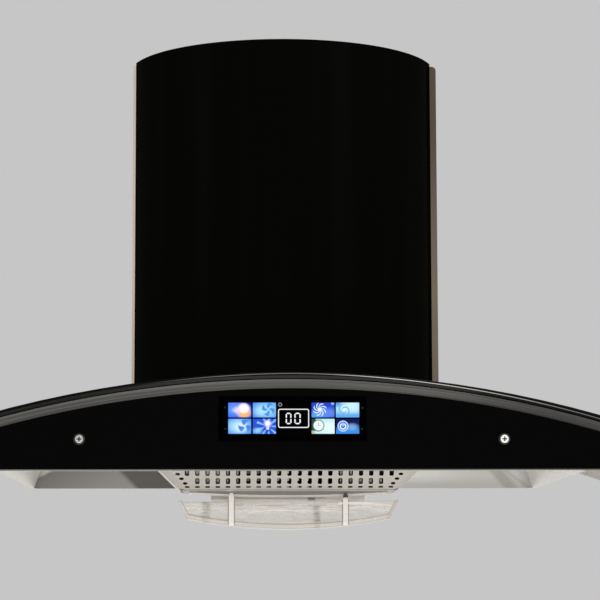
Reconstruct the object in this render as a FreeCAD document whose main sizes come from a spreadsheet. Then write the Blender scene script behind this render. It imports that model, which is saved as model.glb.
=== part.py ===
"""Curved glass range hood.

X runs to the right, Z runs up, and the wall is the plane Y = 0 with the room on its -Y side.
The origin is the centre of the four wall-fixing holes.  Heights are given above the canopy's
rim and depths from the wall towards the room.
"""
import FreeCAD
import Part
import Sketcher
import math
import os
from types import SimpleNamespace

DRIVING_SIZES = [
    # canopy
    ("hood_width", 900.0, "canopy glass, tip to tip"),
    ("hood_depth", 420.0, "wall to the face of the front panel"),
    ("rim_drop", 270.0, "centre of the wall holes down to the canopy's rim"),
    ("arch_radius", 1135.0, "top face of the canopy glass"),
    ("arch_rise", 98.2, "top of the canopy glass above the rim"),
    ("glass_thick", 6.0, "canopy glass"),
    ("glass_edge_cut", 1.2, "ground chamfer along the front edge of the glass"),
    ("glass_lead", 1.0, "front edge of the glass ahead of the front panel"),
    ("glass_wall_gap", 4.0, "rear edge of the glass off the wall"),
    ("silicone_bed", 0.5, "silicone between glass and steel"),
    ("sheet_thick", 1.0, "pressed steel sheet"),
    ("shell_width", 850.0, "canopy shell, side to side"),
    ("band_height", 9.5, "brushed flange in view between glass and front panel"),
    ("flange_lap", 12.0, "flange hidden behind the front panel"),
    ("wing_flange", 18.0, "rear flange of the shell"),
    ("wall_clear", 12.0, "rear edges of pan and shell off the wall"),
    ("chimney_gap", 3.0, "cut-out in the canopy round the chimney"),
    # front panel and display
    ("panel_thick", 5.0, "front panel glass"),
    ("panel_width", 810.0, "front panel, tip to tip"),
    ("panel_screw_span", 425.4, "between the two panel screws"),
    ("panel_screw_rise", 31.0, "panel screws above the rim"),
    ("panel_screw_head", 8.4, "screw head, across"),
    ("panel_screw_shank", 4.0, "screw shank, across"),
    ("screw_head_rise", 2.2, "height of a panel screw's head"),
    ("screw_head_round", 0.8, "rounded edge of that head"),
    ("screw_tail", 6.0, "panel screw behind the shell's flange"),
    ("cross_reach", 2.4, "arm of the cross recess, from its middle"),
    ("cross_arm", 1.3, "arm of the cross recess, across"),
    ("cross_depth", 1.6, "cross recess"),
    ("panel_washer", 11.6, "washer, across"),
    ("washer_thick", 0.8, "washer"),
    ("lens_width", 149.0, "display lens"),
    ("lens_height", 45.0, "display lens"),
    ("lens_rise", 29.0, "bottom of the display lens above the rim"),
    ("display_depth", 15.0, "display housing behind the panel"),
    ("display_wall", 2.0, "display housing's wall"),
    ("screen_thick", 3.0, "display screen"),
    ("board_thick", 1.6, "display board"),
    ("board_part", 12.0, "block on the display board, across"),
    ("board_part_near", 18.0, "inner blocks on the board, from its middle"),
    ("board_part_far", 52.0, "outer blocks on the board, from its middle"),
    ("bracket_width", 24.0, "panel bracket"),
    ("bracket_drop", 10.0, "panel bracket below its screw"),
    ("bracket_foot", 30.0, "panel bracket's foot behind the edge of the pan's ceiling"),
    # pan and plenum
    ("pan_width", 582.0, "smoke pan at the rim"),
    ("pan_setback", 12.0, "front of the pan's wall at the rim, behind the panel's face"),
    ("pan_height", 46.0, "smoke pan"),
    ("pan_lean", 18.0, "how far each pan wall leans inwards"),
    ("pan_corner", 12.0, "rounded corners of the pan"),
    ("pan_lip", 5.4, "folded lip round the pan's rim"),
    ("plenum_width", 350.0, "air box on the pan"),
    ("plenum_setback", 95.0, "front of the air box behind the panel's face"),
    ("plenum_height", 28.0, "air box"),
    ("pan_mouth_width", 300.0, "suction opening in the pan's ceiling"),
    ("pan_mouth_setback", 15.0, "front of the suction opening behind the air box's front"),
    ("pan_mouth_rear", 150.0, "rear of the suction opening, from the wall"),
    ("riser_width", 240.0, "opening from the air box into the chimney"),
    ("riser_front", 170.0, "front of that opening, from the wall"),
    ("riser_rear", 30.0, "rear of that opening, from the wall"),
    # chimney
    ("chimney_width", 348.4, "steel sleeve"),
    ("chimney_side", 105.0, "flat side of the sleeve, from the wall"),
    ("chimney_top", 481.6, "top of the sleeve above the rim"),
    ("bow_radius", 177.0, "face of the chimney glass"),
    ("bow_front", 230.0, "front of the chimney glass, from the wall"),
    ("bow_shift", -2.0, "chimney glass left of the sleeve's centre"),
    ("bow_thick", 6.0, "chimney glass"),
    ("bow_top", 484.4, "top of the chimney glass above the rim"),
    ("back_thick", 2.0, "back panel"),
    ("hole_span", 280.0, "wall holes, side to side"),
    ("hole_rise", 340.0, "wall holes, lower to upper"),
    ("hole_bore", 8.5, "wall holes"),
    ("shelf_height", 395.0, "cap plate above the rim"),
    ("shelf_thick", 1.5, "cap plate"),
    ("collar_bore", 147.0, "inside of the duct collar"),
    ("collar_wall", 1.5, "duct collar"),
    ("collar_rise", 58.0, "duct collar above the cap plate"),
    ("collar_depth", 92.0, "centre of the duct collar from the wall"),
    ("collar_rim", 12.0, "flange round the foot of the collar"),
    ("flap_rise", 7.0, "flap hinges above the cap plate"),
    ("flap_thick", 1.2, "damper flap"),
    ("flap_spacing", 8.0, "between the two flap pins"),
    ("pin_size", 3.0, "flap pin, across"),
    ("gland_bore", 8.0, "hole of the cable gland"),
    # blower
    ("scroll_left", 50.0, "first scroll centre left of the middle"),
    ("scroll_height", 225.0, "first scroll centre above the rim"),
    ("scroll_radius", 108.0, "first and smallest scroll radius"),
    ("scroll_step", 12.0, "growth of the scroll at each quarter turn"),
    ("tongue_reach", 30.0, "scroll centre to the outlet's inner wall"),
    ("scroll_back", 12.0, "rear of the scroll from the wall"),
    ("scroll_width", 88.0, "scroll housing along its axis"),
    ("wheel_radius", 92.0, "impeller"),
    ("wheel_eye", 76.0, "inner radius of the blade ring"),
    ("wheel_width", 68.0, "impeller along its axis"),
    ("blade_thick", 1.2, "impeller blade"),
    ("blade_count", 30, "impeller blades"),
    ("motor_radius", 50.0, "motor can"),
    ("motor_length", 46.0, "motor can"),
    ("motor_flange_rim", 4.0, "motor flange beyond the can"),
    ("hub_wall", 7.0, "impeller's hub round the shaft"),
    ("hub_length", 10.0, "impeller's hub ahead of its disc"),
    ("bowl_play", 6.0, "impeller's bowl round the motor"),
    ("disc_play", 4.0, "impeller's disc ahead of the motor"),
    ("wheel_play", 8.0, "impeller ahead of the scroll's rear wall"),
    ("blade_sweep", 0.55, "blade's forward sweep, as a share of its depth"),
    ("inlet_inset", 5.0, "inlet ring inside the blade ring"),
    ("inlet_play", 2.0, "opening of the cover beyond the blade ring"),
    ("shaft_size", 10.0, "motor shaft, across"),
    ("shaft_play", 0.05, "radial play of the shaft in its bearing"),
    ("outlet_box_height", 39.0, "box between the scroll and the cap plate"),
    ("outlet_box_front", 172.0, "front of that box from the wall"),
    ("outlet_box_left", 84.0, "outlet box, left of the middle"),
    ("outlet_box_right", 98.0, "outlet box, right of the middle"),
    # slotted tray
    ("tray_width", 232.0, "floor of the tray"),
    ("tray_front", 278.0, "front corner of the tray's floor, from the wall"),
    ("tray_rear", 190.0, "rear corner of the tray's floor, from the wall"),
    ("tray_drop", 14.0, "tray's floor below the rim"),
    ("tray_fold", 20.0, "fold between the tray's walls and floor"),
    ("tray_corner", 16.0, "rounded corners of the tray"),
    ("tray_flange", 8.0, "flange round the tray's mouth"),
    ("slot_width", 4.6, "slot"),
    ("slot_rise", 5.9, "slot's height seen from the front"),
    ("slot_pitch", 10.75, "slot to slot"),
    ("row_pitch", 8.3, "row to row"),
    ("main_row_height", 3.7, "middle of the first full row above the rim"),
    ("slot_corner", 1.4, "rounding of a slot's corners"),
    ("small_corner", 0.7, "rounding of the small slots' corners"),
    ("fold_row_drop", 10.4, "middle of the row in the fold, below the rim"),
    ("fold_slot_rise", 1.5, "height of a slot in the fold, seen from the front"),
    ("border_reach", 117.3, "highest border slot to the middle"),
    ("border_height", 2.5, "height of the highest border slot over the rim"),
    ("border_step_in", 3.9, "each border slot inwards from the last"),
    ("border_step_down", 4.65, "each border slot down from the last"),
    ("border_slot_width", 4.2, "width of a border slot"),
    ("border_slot_rise", 2.0, "height of a border slot, seen from the front"),
    ("baffle_gap", 9.0, "second layer behind the tray's walls"),
    ("baffle_window", 96.0, "opening in the middle of the second layer"),
    ("clip_length", 20.0, "spring clip beside the tray's flange"),
    ("clip_drop", 14.0, "spring clip below the ceiling"),
    # drip parts and cup
    ("dish_width", 212.0, "pressed dish under the tray"),
    ("dish_drop", 3.0, "depth of the dish"),
    ("dish_front", 266.0, "front of the dish, from the wall"),
    ("lip_depth", 230.0, "face of the lip, from the wall"),
    ("lip_drop", 5.4, "lip below the tray's floor at the middle"),
    ("lip_ends", 2.0, "lip below the tray's floor at its ends"),
    ("tab_drop", 1.2, "tabs below the lip's ends"),
    ("chute_width", 166.0, "chute that reaches into the cup"),
    ("chute_foot", 12.0, "chute's foot on the tray's floor"),
    ("chute_drop", 14.0, "chute below the tray's floor"),
    ("cup_width", 236.0, "oil cup at its rim"),
    ("cup_floor_width", 217.0, "oil cup at its lower corners"),
    ("cup_depth", 56.0, "oil cup, front to back"),
    ("cup_front", 246.0, "face of the oil cup, from the wall"),
    ("cup_top", 22.8, "rim of the cup below the canopy's rim"),
    ("cup_side", 19.5, "height of the cup's ends"),
    ("cup_sag", 11.0, "how far the cup's floor bows down"),
    ("cup_wall", 2.6, "oil cup"),
    ("rib_span", 122.0, "between the cup's two ribs"),
    ("rib_width", 5.4, "rib"),
    ("rib_proud", 2.4, "rib ahead of the cup's face"),
    ("hook_width", 3.6, "hook at the top of a rib"),
    ("hook_rise", 8.0, "hook above its rib"),
    ("hook_play", 0.4, "play of a hook in its slot"),
    # lamps and small parts
    ("lamp_depth", 215.0, "lamps from the wall"),
    ("lamp_radius", 30.0, "lamp body"),
    ("lamp_rim", 4.0, "lamp flange beyond its body"),
    ("lamp_height", 11.0, "lamp body above the ceiling"),
    ("lamp_lens_thick", 3.0, "lamp lens"),
    ("lamp_lens_radius", 27.0, "lamp lens"),
    ("control_width", 110.0, "control box"),
    ("control_depth", 48.0, "control box"),
    ("control_height", 27.0, "control box"),
    ("control_shift", 30.0, "control box left of the middle"),
    ("capacitor_radius", 16.0, "motor capacitor"),
    ("capacitor_length", 52.0, "motor capacitor"),
    ("capacitor_gap", 8.0, "between control box and capacitor"),
    ("gland_size", 16.0, "cable gland's body, across"),
    ("gland_left", 125.0, "cable gland left of the middle"),
    ("gland_depth", 60.0, "cable gland from the wall"),
    ("gland_skirt", 4.0, "shoulder of the cable gland"),
    ("gland_rise", 16.0, "cable gland above the cap plate"),
    ("corner_round", 5.0, "rounded upper corners of the sleeve's shoulders"),
    ("seat", 0.3, "gap between pieces that rest side by side"),
    ("small_screw_head", 7.0, "sheet-metal screw, across its head"),
    ("small_screw_shank", 3.6, "sheet-metal screw, across its shank"),
]


class Size:
    """A length that carries its number and the formula that gives it from the sheet."""

    def __init__(self, value, formula):
        self.value = value
        self.formula = formula

    def __add__(self, other):
        other = sized(other)
        return Size(self.value + other.value, f"({self.formula} + {other.formula})")

    def __sub__(self, other):
        other = sized(other)
        return Size(self.value - other.value, f"({self.formula} - {other.formula})")

    def __mul__(self, other):
        other = sized(other)
        return Size(self.value * other.value, f"({self.formula} * {other.formula})")

    def __truediv__(self, other):
        other = sized(other)
        return Size(self.value / other.value, f"({self.formula} / {other.formula})")

    def __neg__(self):
        return Size(-self.value, f"(0 - {self.formula})")

    def __radd__(self, other):
        return sized(other) + self

    def __rsub__(self, other):
        return sized(other) - self

    def __rmul__(self, other):
        return sized(other) * self


def sized(thing):
    return thing if isinstance(thing, Size) else Size(float(thing), f"({thing})")


def root(size):
    return Size(math.sqrt(size.value), f"sqrt({size.formula})")


def leg(hypotenuse, side):
    """The other side of a right triangle."""
    return root(hypotenuse * hypotenuse - side * side)


doc = FreeCAD.newDocument("range_hood")
sheet = doc.addObject("Spreadsheet::Sheet", "Sizes")
for row, (alias, number, note) in enumerate(DRIVING_SIZES, start=1):
    sheet.set(f"A{row}", str(number))
    sheet.setAlias(f"A{row}", alias)
    sheet.set(f"B{row}", note)
doc.recompute()
S = SimpleNamespace(**{
    alias: Size(float(number), f"Sizes.{alias}") for alias, number, note in DRIVING_SIZES})

ARCH_CENTRE = S.arch_rise - S.arch_radius
SHELL_RADIUS = S.arch_radius - S.glass_thick - S.silicone_bed
BOW_CENTRE = S.bow_front - S.bow_radius
PANEL_BACK = S.hood_depth - S.panel_thick
FLANGE_BACK = PANEL_BACK - S.seat - S.sheet_thick
PAN_FRONT = S.hood_depth - S.pan_setback
PLENUM_FRONT = S.hood_depth - S.plenum_setback
PLENUM_TOP = S.pan_height + S.plenum_height
CEILING = S.pan_height - S.sheet_thick
FLAP_HEIGHT = S.shelf_height + S.shelf_thick + S.flap_rise
WHEEL_X = S.scroll_step / 2 - S.scroll_left
WHEEL_HEIGHT = S.scroll_height + S.scroll_step / 2
SCROLL_FRONT = S.scroll_back + S.scroll_width
OUTLET_TOP = S.shelf_height - S.outlet_box_height
TRAY_TOP = CEILING - S.seat
TRAY_SPREAD = TRAY_TOP + S.tray_drop
LAMP_SPAN = (S.tray_width + S.pan_width) / 2 + TRAY_SPREAD + S.tray_flange - S.pan_lean


# ---------------------------------------------------------------- drawing helpers

def bind(thing, name, size):
    thing.setExpression(name, sized(size).formula)


def up(height):
    """Z of a height above the rim."""
    return sized(height) - S.rim_drop


def new_body(name):
    body = doc.addObject("PartDesign::Body", name)
    body.Label = name
    body.AllowCompound = True
    return body


def plane_of(body, role):
    return next(plane for plane in body.Origin.OriginFeatures if plane.Role == role)


def new_sketch(body, role, offset, across=0, along=0):
    """A sketch parallel to an origin plane, its own origin moved across and along it."""
    sketch = body.newObject("Sketcher::SketchObject", body.Name + "_sketch")
    sketch.AttachmentSupport = [(plane_of(body, role), "")]
    sketch.MapMode = "FlatFace"
    bind(sketch, "AttachmentOffset.Base.z", offset)
    bind(sketch, "AttachmentOffset.Base.x", across)
    bind(sketch, "AttachmentOffset.Base.y", along)
    return sketch


def front_sketch(body, depth, across=0, along=0):
    """Drawn as seen from the room, X and Z; pads grow towards the room."""
    return new_sketch(body, "XZ_Plane", depth, across, along)


def plan_sketch(body, height, across=0, along=0):
    """Drawn in plan, X and -depth; pads grow upwards from a height above the rim."""
    return new_sketch(body, "XY_Plane", up(height), across, along)


def side_sketch(body, offset, across=0, along=0):
    """Drawn from the side, -depth and Z; pads grow to the right."""
    return new_sketch(body, "YZ_Plane", offset, across, along)


def pin_point(sketch, edge, end, x, y):
    for kind, size in (("DistanceX", sized(x)), ("DistanceY", sized(y))):
        index = sketch.addConstraint(Sketcher.Constraint(kind, -1, 1, edge, end, size.value))
        bind(sketch, f"Constraints[{index}]", size)


def arc_through(start, end, radius):
    """Middle of the arc between two points; a positive radius bulges to the right of the way."""
    chord = end - start
    middle = (start + end) * 0.5
    left = FreeCAD.Vector(-chord.y, chord.x, 0).normalize()
    rise = math.sqrt(max(radius ** 2 - (chord.Length / 2) ** 2, 0.0))
    side = 1.0 if radius > 0 else -1.0
    return middle + left * side * (rise - abs(radius))


def outline(sketch, points, bends=None):
    """A closed outline; bends holds the radius of the arc that leaves a point."""
    bends = bends or {}
    spots = [FreeCAD.Vector(sized(x).value, sized(y).value, 0) for x, y in points]
    edges = []
    for number, start in enumerate(spots):
        end = spots[(number + 1) % len(spots)]
        if number in bends:
            middle = arc_through(start, end, bends[number].value)
            forward = bends[number].value > 0
            arc = Part.Arc(start, middle, end) if forward else Part.Arc(end, middle, start)
            edge = sketch.addGeometry(arc, False)
            edges.append((edge, 1, 2) if forward else (edge, 2, 1))
        else:
            edge = sketch.addGeometry(Part.LineSegment(start, end), False)
            edges.append((edge, 1, 2))
    for number, (edge, first, last) in enumerate(edges):
        following, its_first, its_last = edges[(number + 1) % len(edges)]
        sketch.addConstraint(Sketcher.Constraint("Coincident", edge, last, following, its_first))
    for (edge, first, last), (x, y) in zip(edges, points):
        pin_point(sketch, edge, first, x, y)
    for number, radius in bends.items():
        edge = edges[number][0]
        length = Size(abs(radius.value), f"abs({radius.formula})")
        index = sketch.addConstraint(Sketcher.Constraint("Radius", edge, length.value))
        bind(sketch, f"Constraints[{index}]", length)
    return sketch


def box_outline(sketch, left, right, low, high):
    return outline(sketch, [(left, low), (right, low), (right, high), (left, high)])


def rounded_outline(sketch, x, y, width, height, radius):
    """A rounded rectangle about a centre."""
    left, right = x - width / 2, x + width / 2
    low, high = y - height / 2, y + height / 2
    points = [(left + radius, low), (right - radius, low), (right, low + radius),
              (right, high - radius), (right - radius, high), (left + radius, high),
              (left, high - radius), (left, low + radius)]
    return outline(sketch, points, {1: radius, 3: radius, 5: radius, 7: radius})


def circle(sketch, x, y, radius):
    x, y, radius = sized(x), sized(y), sized(radius)
    shape = Part.Circle(FreeCAD.Vector(x.value, y.value, 0), FreeCAD.Vector(0, 0, 1),
                        radius.value)
    edge = sketch.addGeometry(shape, False)
    pin_point(sketch, edge, 3, x, y)
    index = sketch.addConstraint(Sketcher.Constraint("Radius", edge, radius.value))
    bind(sketch, f"Constraints[{index}]", radius)
    return sketch


def pad(body, sketch, length):
    feature = body.newObject("PartDesign::Pad", body.Name + "_pad")
    feature.Profile = sketch
    bind(feature, "Length", length)
    sketch.Visibility = False
    return feature


def pocket(body, sketch, length):
    """Cuts along the sketch's normal and makes sure that something was cut."""
    doc.recompute()
    before = body.Shape.Volume
    feature = body.newObject("PartDesign::Pocket", body.Name + "_pocket")
    feature.Profile = sketch
    feature.Reversed = True
    bind(feature, "Length", length)
    doc.recompute()
    if not body.Shape.Volume < before:
        raise RuntimeError(f"{feature.Name} cuts nothing")
    return feature


def revolve(body, sketch, axis):
    feature = body.newObject("PartDesign::Revolution", body.Name + "_turned")
    feature.Profile = sketch
    feature.ReferenceAxis = (sketch, [axis])
    feature.Angle = 360.0
    return feature


def row_of(body, feature, sketch, axis, length, count):
    """Copies a feature along a sketch's axis over a whole length."""
    doc.recompute()
    pattern = body.newObject("PartDesign::LinearPattern", body.Name + "_row")
    pattern.Originals = [feature]
    pattern.Direction = (sketch, [axis])
    bind(pattern, "Length", length)
    pattern.Occurrences = count
    body.Tip = pattern
    return pattern


def wedge(body, kind, low, high, bottom, top):
    """Slanted box: low and high are heights, bottom and top are (half width, rear, front)."""
    feature = body.newObject(kind, body.Name + "_wedge")
    feature.AttachmentSupport = [(plane_of(body, "XZ_Plane"), "")]
    feature.MapMode = "FlatFace"
    for name, size in (("Ymin", up(low)), ("Ymax", up(high)),
                       ("Xmin", -bottom[0]), ("Xmax", bottom[0]),
                       ("Zmin", bottom[1]), ("Zmax", bottom[2]),
                       ("X2min", -top[0]), ("X2max", top[0]),
                       ("Z2min", top[1]), ("Z2max", top[2])):
        start = sized(size)
        setattr(feature, name, start.value)
        bind(feature, name, start)
    return feature


def fillet(body, feature, chosen, radius):
    """Rounds the edges for which chosen(edge) holds."""
    doc.recompute()
    names = [f"Edge{number}" for number, edge in enumerate(feature.Shape.Edges, start=1)
             if chosen(edge)]
    if not names:
        raise RuntimeError(f"{body.Name} has no edge to round")
    rounded = body.newObject("PartDesign::Fillet", body.Name + "_fillet")
    rounded.Base = (feature, names)
    bind(rounded, "Radius", radius)
    return rounded


def chamfer(body, feature, chosen, length):
    doc.recompute()
    names = [f"Edge{number}" for number, edge in enumerate(feature.Shape.Edges, start=1)
             if chosen(edge)]
    cut = body.newObject("PartDesign::Chamfer", body.Name + "_chamfer")
    cut.Base = (feature, names)
    bind(cut, "Size", length)
    return cut


def arch_height(radius, x):
    """Height above the rim of an arc about the arch's centre."""
    return ARCH_CENTRE + leg(radius, x)


def arch_reach(radius, height=0):
    """Half width at which such an arc meets a height."""
    return leg(radius, sized(height) - ARCH_CENTRE)


def studs(name, role, spots, stages):
    """Turned pins at several spots; each stage is (radius, start, length)."""
    body = new_body(name)
    for radius, start, length in stages:
        sketch = new_sketch(body, role, start)
        for x, y in spots:
            circle(sketch, x, y, radius)
        pad(body, sketch, length)
    return body


# ---------------------------------------------------------------- canopy

def chimney_cutout(body):
    """Cuts the way through for the chimney, from the wall to its bowed front."""
    gap = S.chimney_gap
    side = S.chimney_width / 2 + gap
    shoulder = S.chimney_side + gap
    radius = S.bow_radius + gap
    reach = leg(radius, shoulder - BOW_CENTRE)
    behind = S.wall_clear
    sketch = plan_sketch(body, -S.tray_drop)
    outline(sketch, [(-side, behind), (-side, -shoulder), (S.bow_shift - reach, -shoulder),
                     (S.bow_shift + reach, -shoulder), (side, -shoulder), (side, behind)],
            {2: radius})
    pocket(body, sketch, S.arch_rise + 3 * S.tray_drop)


def arched_sheet(body, radius, thick, half, depth, length):
    outer, inner = radius, radius - thick
    sketch = front_sketch(body, depth)
    outline(sketch, [(half, up(arch_height(outer, half))), (-half, up(arch_height(outer, half))),
                     (-half, up(arch_height(inner, half))), (half, up(arch_height(inner, half)))],
            {0: outer, 2: -inner})
    return pad(body, sketch, length)


def make_canopy_glass():
    body = new_body("canopy_glass")
    front = S.hood_depth + S.glass_lead
    glass = arched_sheet(body, S.arch_radius, S.glass_thick, S.hood_width / 2,
                         S.glass_wall_gap, front - S.glass_wall_gap)
    chamfer(body, glass, lambda edge: edge.BoundBox.YMax < -front.value + 0.01
            and edge.BoundBox.XLength > S.hood_width.value / 2, S.glass_edge_cut)
    chimney_cutout(body)


def arched_flange(body, outer, inner, depth):
    """A flat flange that follows the arch and stops at the rim."""
    half = S.shell_width / 2
    foot = arch_reach(inner)
    sketch = front_sketch(body, depth)
    outline(sketch, [(foot, up(0)), (half, up(0)), (half, up(arch_height(outer, half))),
                     (-half, up(arch_height(outer, half))), (-half, up(0)), (-foot, up(0))],
            {2: outer, 5: -inner})
    return pad(body, sketch, S.sheet_thick)


def make_canopy_shell():
    body = new_body("canopy_shell")
    arched_sheet(body, SHELL_RADIUS, S.sheet_thick, S.shell_width / 2,
                 S.wall_clear, FLANGE_BACK + S.sheet_thick - S.wall_clear)
    arched_flange(body, SHELL_RADIUS, SHELL_RADIUS - S.band_height - S.flange_lap, FLANGE_BACK)
    arched_flange(body, SHELL_RADIUS, SHELL_RADIUS - S.sheet_thick - S.wing_flange, S.wall_clear)
    chimney_cutout(body)
    sketch = front_sketch(body, FLANGE_BACK - S.sheet_thick)
    reach = S.lens_width / 2 + 2 * S.display_wall + S.seat
    box_outline(sketch, -reach, reach, up(0),
                up(S.lens_rise + S.lens_height + S.display_wall + 2 * S.seat))
    pocket(body, sketch, 3 * S.sheet_thick)


def make_front_panel():
    body = new_body("front_panel")
    half = S.panel_width / 2
    radius = SHELL_RADIUS - S.band_height
    sketch = front_sketch(body, PANEL_BACK)
    outline(sketch, [(-half, up(0)), (half, up(0)), (half, up(arch_height(radius, half))),
                     (-half, up(arch_height(radius, half)))], {2: radius})
    pad(body, sketch, S.panel_thick)
    opening = front_sketch(body, PANEL_BACK - S.seat)
    box_outline(opening, -S.lens_width / 2 - S.seat, S.lens_width / 2 + S.seat,
                up(S.lens_rise - S.seat), up(S.lens_rise + S.lens_height + S.seat))
    for side in (-1, 1):
        circle(opening, side * S.panel_screw_span / 2, up(S.panel_screw_rise),
               S.panel_screw_shank / 2 + S.seat)
    pocket(body, opening, S.panel_thick + 2 * S.seat)


def make_panel_screws():
    spots = [(side * S.panel_screw_span / 2, up(S.panel_screw_rise)) for side in (-1, 1)]
    head_back = S.hood_depth + S.washer_thick
    body = studs("panel_screws", "XZ_Plane", spots,
                 [(S.panel_screw_head / 2, head_back, S.screw_head_rise),
                  (S.panel_screw_shank / 2, FLANGE_BACK - S.screw_tail,
                   head_back - FLANGE_BACK + S.screw_tail)])
    head = body.Tip
    front = -(head_back + S.screw_head_rise).value
    fillet(body, head, lambda edge: edge.BoundBox.YMax < front + 0.01, S.screw_head_round)
    cross = front_sketch(body, head_back + S.screw_head_rise - S.cross_depth)
    long, short = S.cross_reach, S.cross_arm / 2
    for x, height in spots:
        outline(cross, [(x - short, height - long), (x + short, height - long),
                        (x + short, height - short), (x + long, height - short),
                        (x + long, height + short), (x + short, height + short),
                        (x + short, height + long), (x - short, height + long),
                        (x - short, height + short), (x - long, height + short),
                        (x - long, height - short), (x - short, height - short)])
    pocket(body, cross, S.cross_depth + S.seat)


def make_panel_washers():
    body = new_body("panel_washers")
    sketch = front_sketch(body, S.hood_depth)
    for side in (-1, 1):
        x = side * S.panel_screw_span / 2
        circle(sketch, x, up(S.panel_screw_rise), S.panel_washer / 2)
        circle(sketch, x, up(S.panel_screw_rise), S.panel_screw_shank / 2 + S.seat)
    pad(body, sketch, S.washer_thick)


def make_panel_brackets():
    """Angles from the pan's ceiling to the back of the front panel, one behind each screw."""
    body = new_body("panel_brackets")
    front = FLANGE_BACK - S.seat
    thick = S.sheet_thick * 1.2
    low = S.panel_screw_rise - S.bracket_drop
    foot = PAN_FRONT - S.pan_lean - S.bracket_foot
    top = S.pan_height + thick
    for side in (-1, 1):
        start = side * S.panel_screw_span / 2 - S.bracket_width / 2
        sketch = side_sketch(body, start)
        outline(sketch, [(-front, up(low)), (-front + thick, up(low)),
                         (-front + thick, up(S.pan_height)), (-foot, up(S.pan_height)),
                         (-foot, up(top)), (-front, up(top))])
        pad(body, sketch, S.bracket_width)
    holes = front_sketch(body, front - 2 * thick)
    for side in (-1, 1):
        circle(holes, side * S.panel_screw_span / 2, up(S.panel_screw_rise),
               S.panel_screw_shank / 2 + S.seat)
    pocket(body, holes, 3 * thick)


# ---------------------------------------------------------------- display

def make_display():
    half = S.lens_width / 2
    low, high = S.lens_rise, S.lens_rise + S.lens_height
    lens = new_body("display_lens")
    pad(lens, box_outline(front_sketch(lens, PANEL_BACK), -half, half, up(low), up(high)),
        S.panel_thick)

    wall = S.display_wall
    front = PANEL_BACK - S.seat
    back = front - S.display_depth
    housing = new_body("display_housing")
    pad(housing, box_outline(front_sketch(housing, back), -half - wall, half + wall,
                             up(low - wall), up(high + wall)), S.display_depth)
    pocket(housing, box_outline(front_sketch(housing, back + wall), -half + S.seat,
                                half - S.seat, up(low + S.seat), up(high - S.seat)),
           S.display_depth)

    screen = new_body("display_screen")
    inset = 2 * S.seat
    thick = S.screen_thick
    pad(screen, box_outline(front_sketch(screen, front - thick), -half + inset, half - inset,
                            up(low + inset), up(high - inset)), thick)

    board = new_body("display_board")
    pad(board, box_outline(front_sketch(board, back + wall + S.seat), -half + inset,
                           half - inset, up(low + inset), up(high - inset)), S.board_thick)
    parts = front_sketch(board, back + wall + S.seat + S.board_thick)
    middle = up(S.lens_rise + S.lens_height / 2)
    reach = S.board_part / 2
    for x in (-S.board_part_far, -S.board_part_near, S.board_part_near, S.board_part_far):
        box_outline(parts, x - reach, x + reach, middle - reach, middle + reach)
    height = S.display_depth - wall - S.board_thick - thick - 2 * S.seat
    pad(board, parts, height)


def make_control_parts():
    rear = PLENUM_FRONT + 3 * S.sheet_thick
    box = new_body("control_box")
    sketch = plan_sketch(box, S.pan_height)
    rounded_outline(sketch, -S.control_shift, -(rear + S.control_depth / 2), S.control_width,
                    S.control_depth, 4 * S.sheet_thick)
    pad(box, sketch, S.control_height)
    can = new_body("capacitor")
    start = -S.control_shift + S.control_width / 2 + S.capacitor_gap
    sketch = side_sketch(can, start)
    circle(sketch, -(rear + S.capacitor_radius), up(S.pan_height) + S.capacitor_radius,
           S.capacitor_radius)
    pad(can, sketch, S.capacitor_length)


# ---------------------------------------------------------------- pan and plenum

def hollow(body, feature, wall, open_top):
    """Leaves a wall of even thickness and opens the lowest or the highest face."""
    doc.recompute()
    faces = feature.Shape.Faces
    levels = [face.CenterOfMass.z for face in faces]
    chosen = levels.index(max(levels) if open_top else min(levels)) + 1
    shell = body.newObject("PartDesign::Thickness", body.Name + "_wall")
    shell.Base = (feature, [f"Face{chosen}"])
    shell.Reversed = True
    bind(shell, "Value", wall)
    doc.recompute()
    return shell


def slanted(edge):
    """Neither level nor upright."""
    box = edge.BoundBox
    return box.ZLength > 1 and (box.XLength > 1 or box.YLength > 1)


def make_smoke_pan():
    body = new_body("smoke_pan")
    half, lean = S.pan_width / 2, S.pan_lean
    rear, front = S.wall_clear, PAN_FRONT
    outer = wedge(body, "PartDesign::AdditiveWedge", 0, S.pan_height, (half, rear, front),
                  (half - lean, rear + lean, front - lean))
    corners = fillet(body, outer, slanted, S.pan_corner)
    hollow(body, corners, S.sheet_thick, open_top=False)
    lip = plan_sketch(body, 0)
    middle, inset = (rear + front) / 2, S.sheet_thick
    rounded_outline(lip, sized(0), -middle, 2 * (half + S.pan_lip),
                    front - rear + 2 * S.pan_lip, S.pan_corner)
    rounded_outline(lip, sized(0), -middle, 2 * (half - inset),
                    front - rear - 2 * inset, S.pan_corner)
    pad(body, lip, S.sheet_thick)
    mouth = plan_sketch(body, CEILING - S.sheet_thick)
    box_outline(mouth, -S.pan_mouth_width / 2, S.pan_mouth_width / 2,
                -(PLENUM_FRONT - S.pan_mouth_setback), -S.pan_mouth_rear)
    for side in (-1, 1):
        circle(mouth, side * LAMP_SPAN / 2, -S.lamp_depth, S.lamp_radius + S.seat)
    pocket(body, mouth, 3 * S.sheet_thick)


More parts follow.
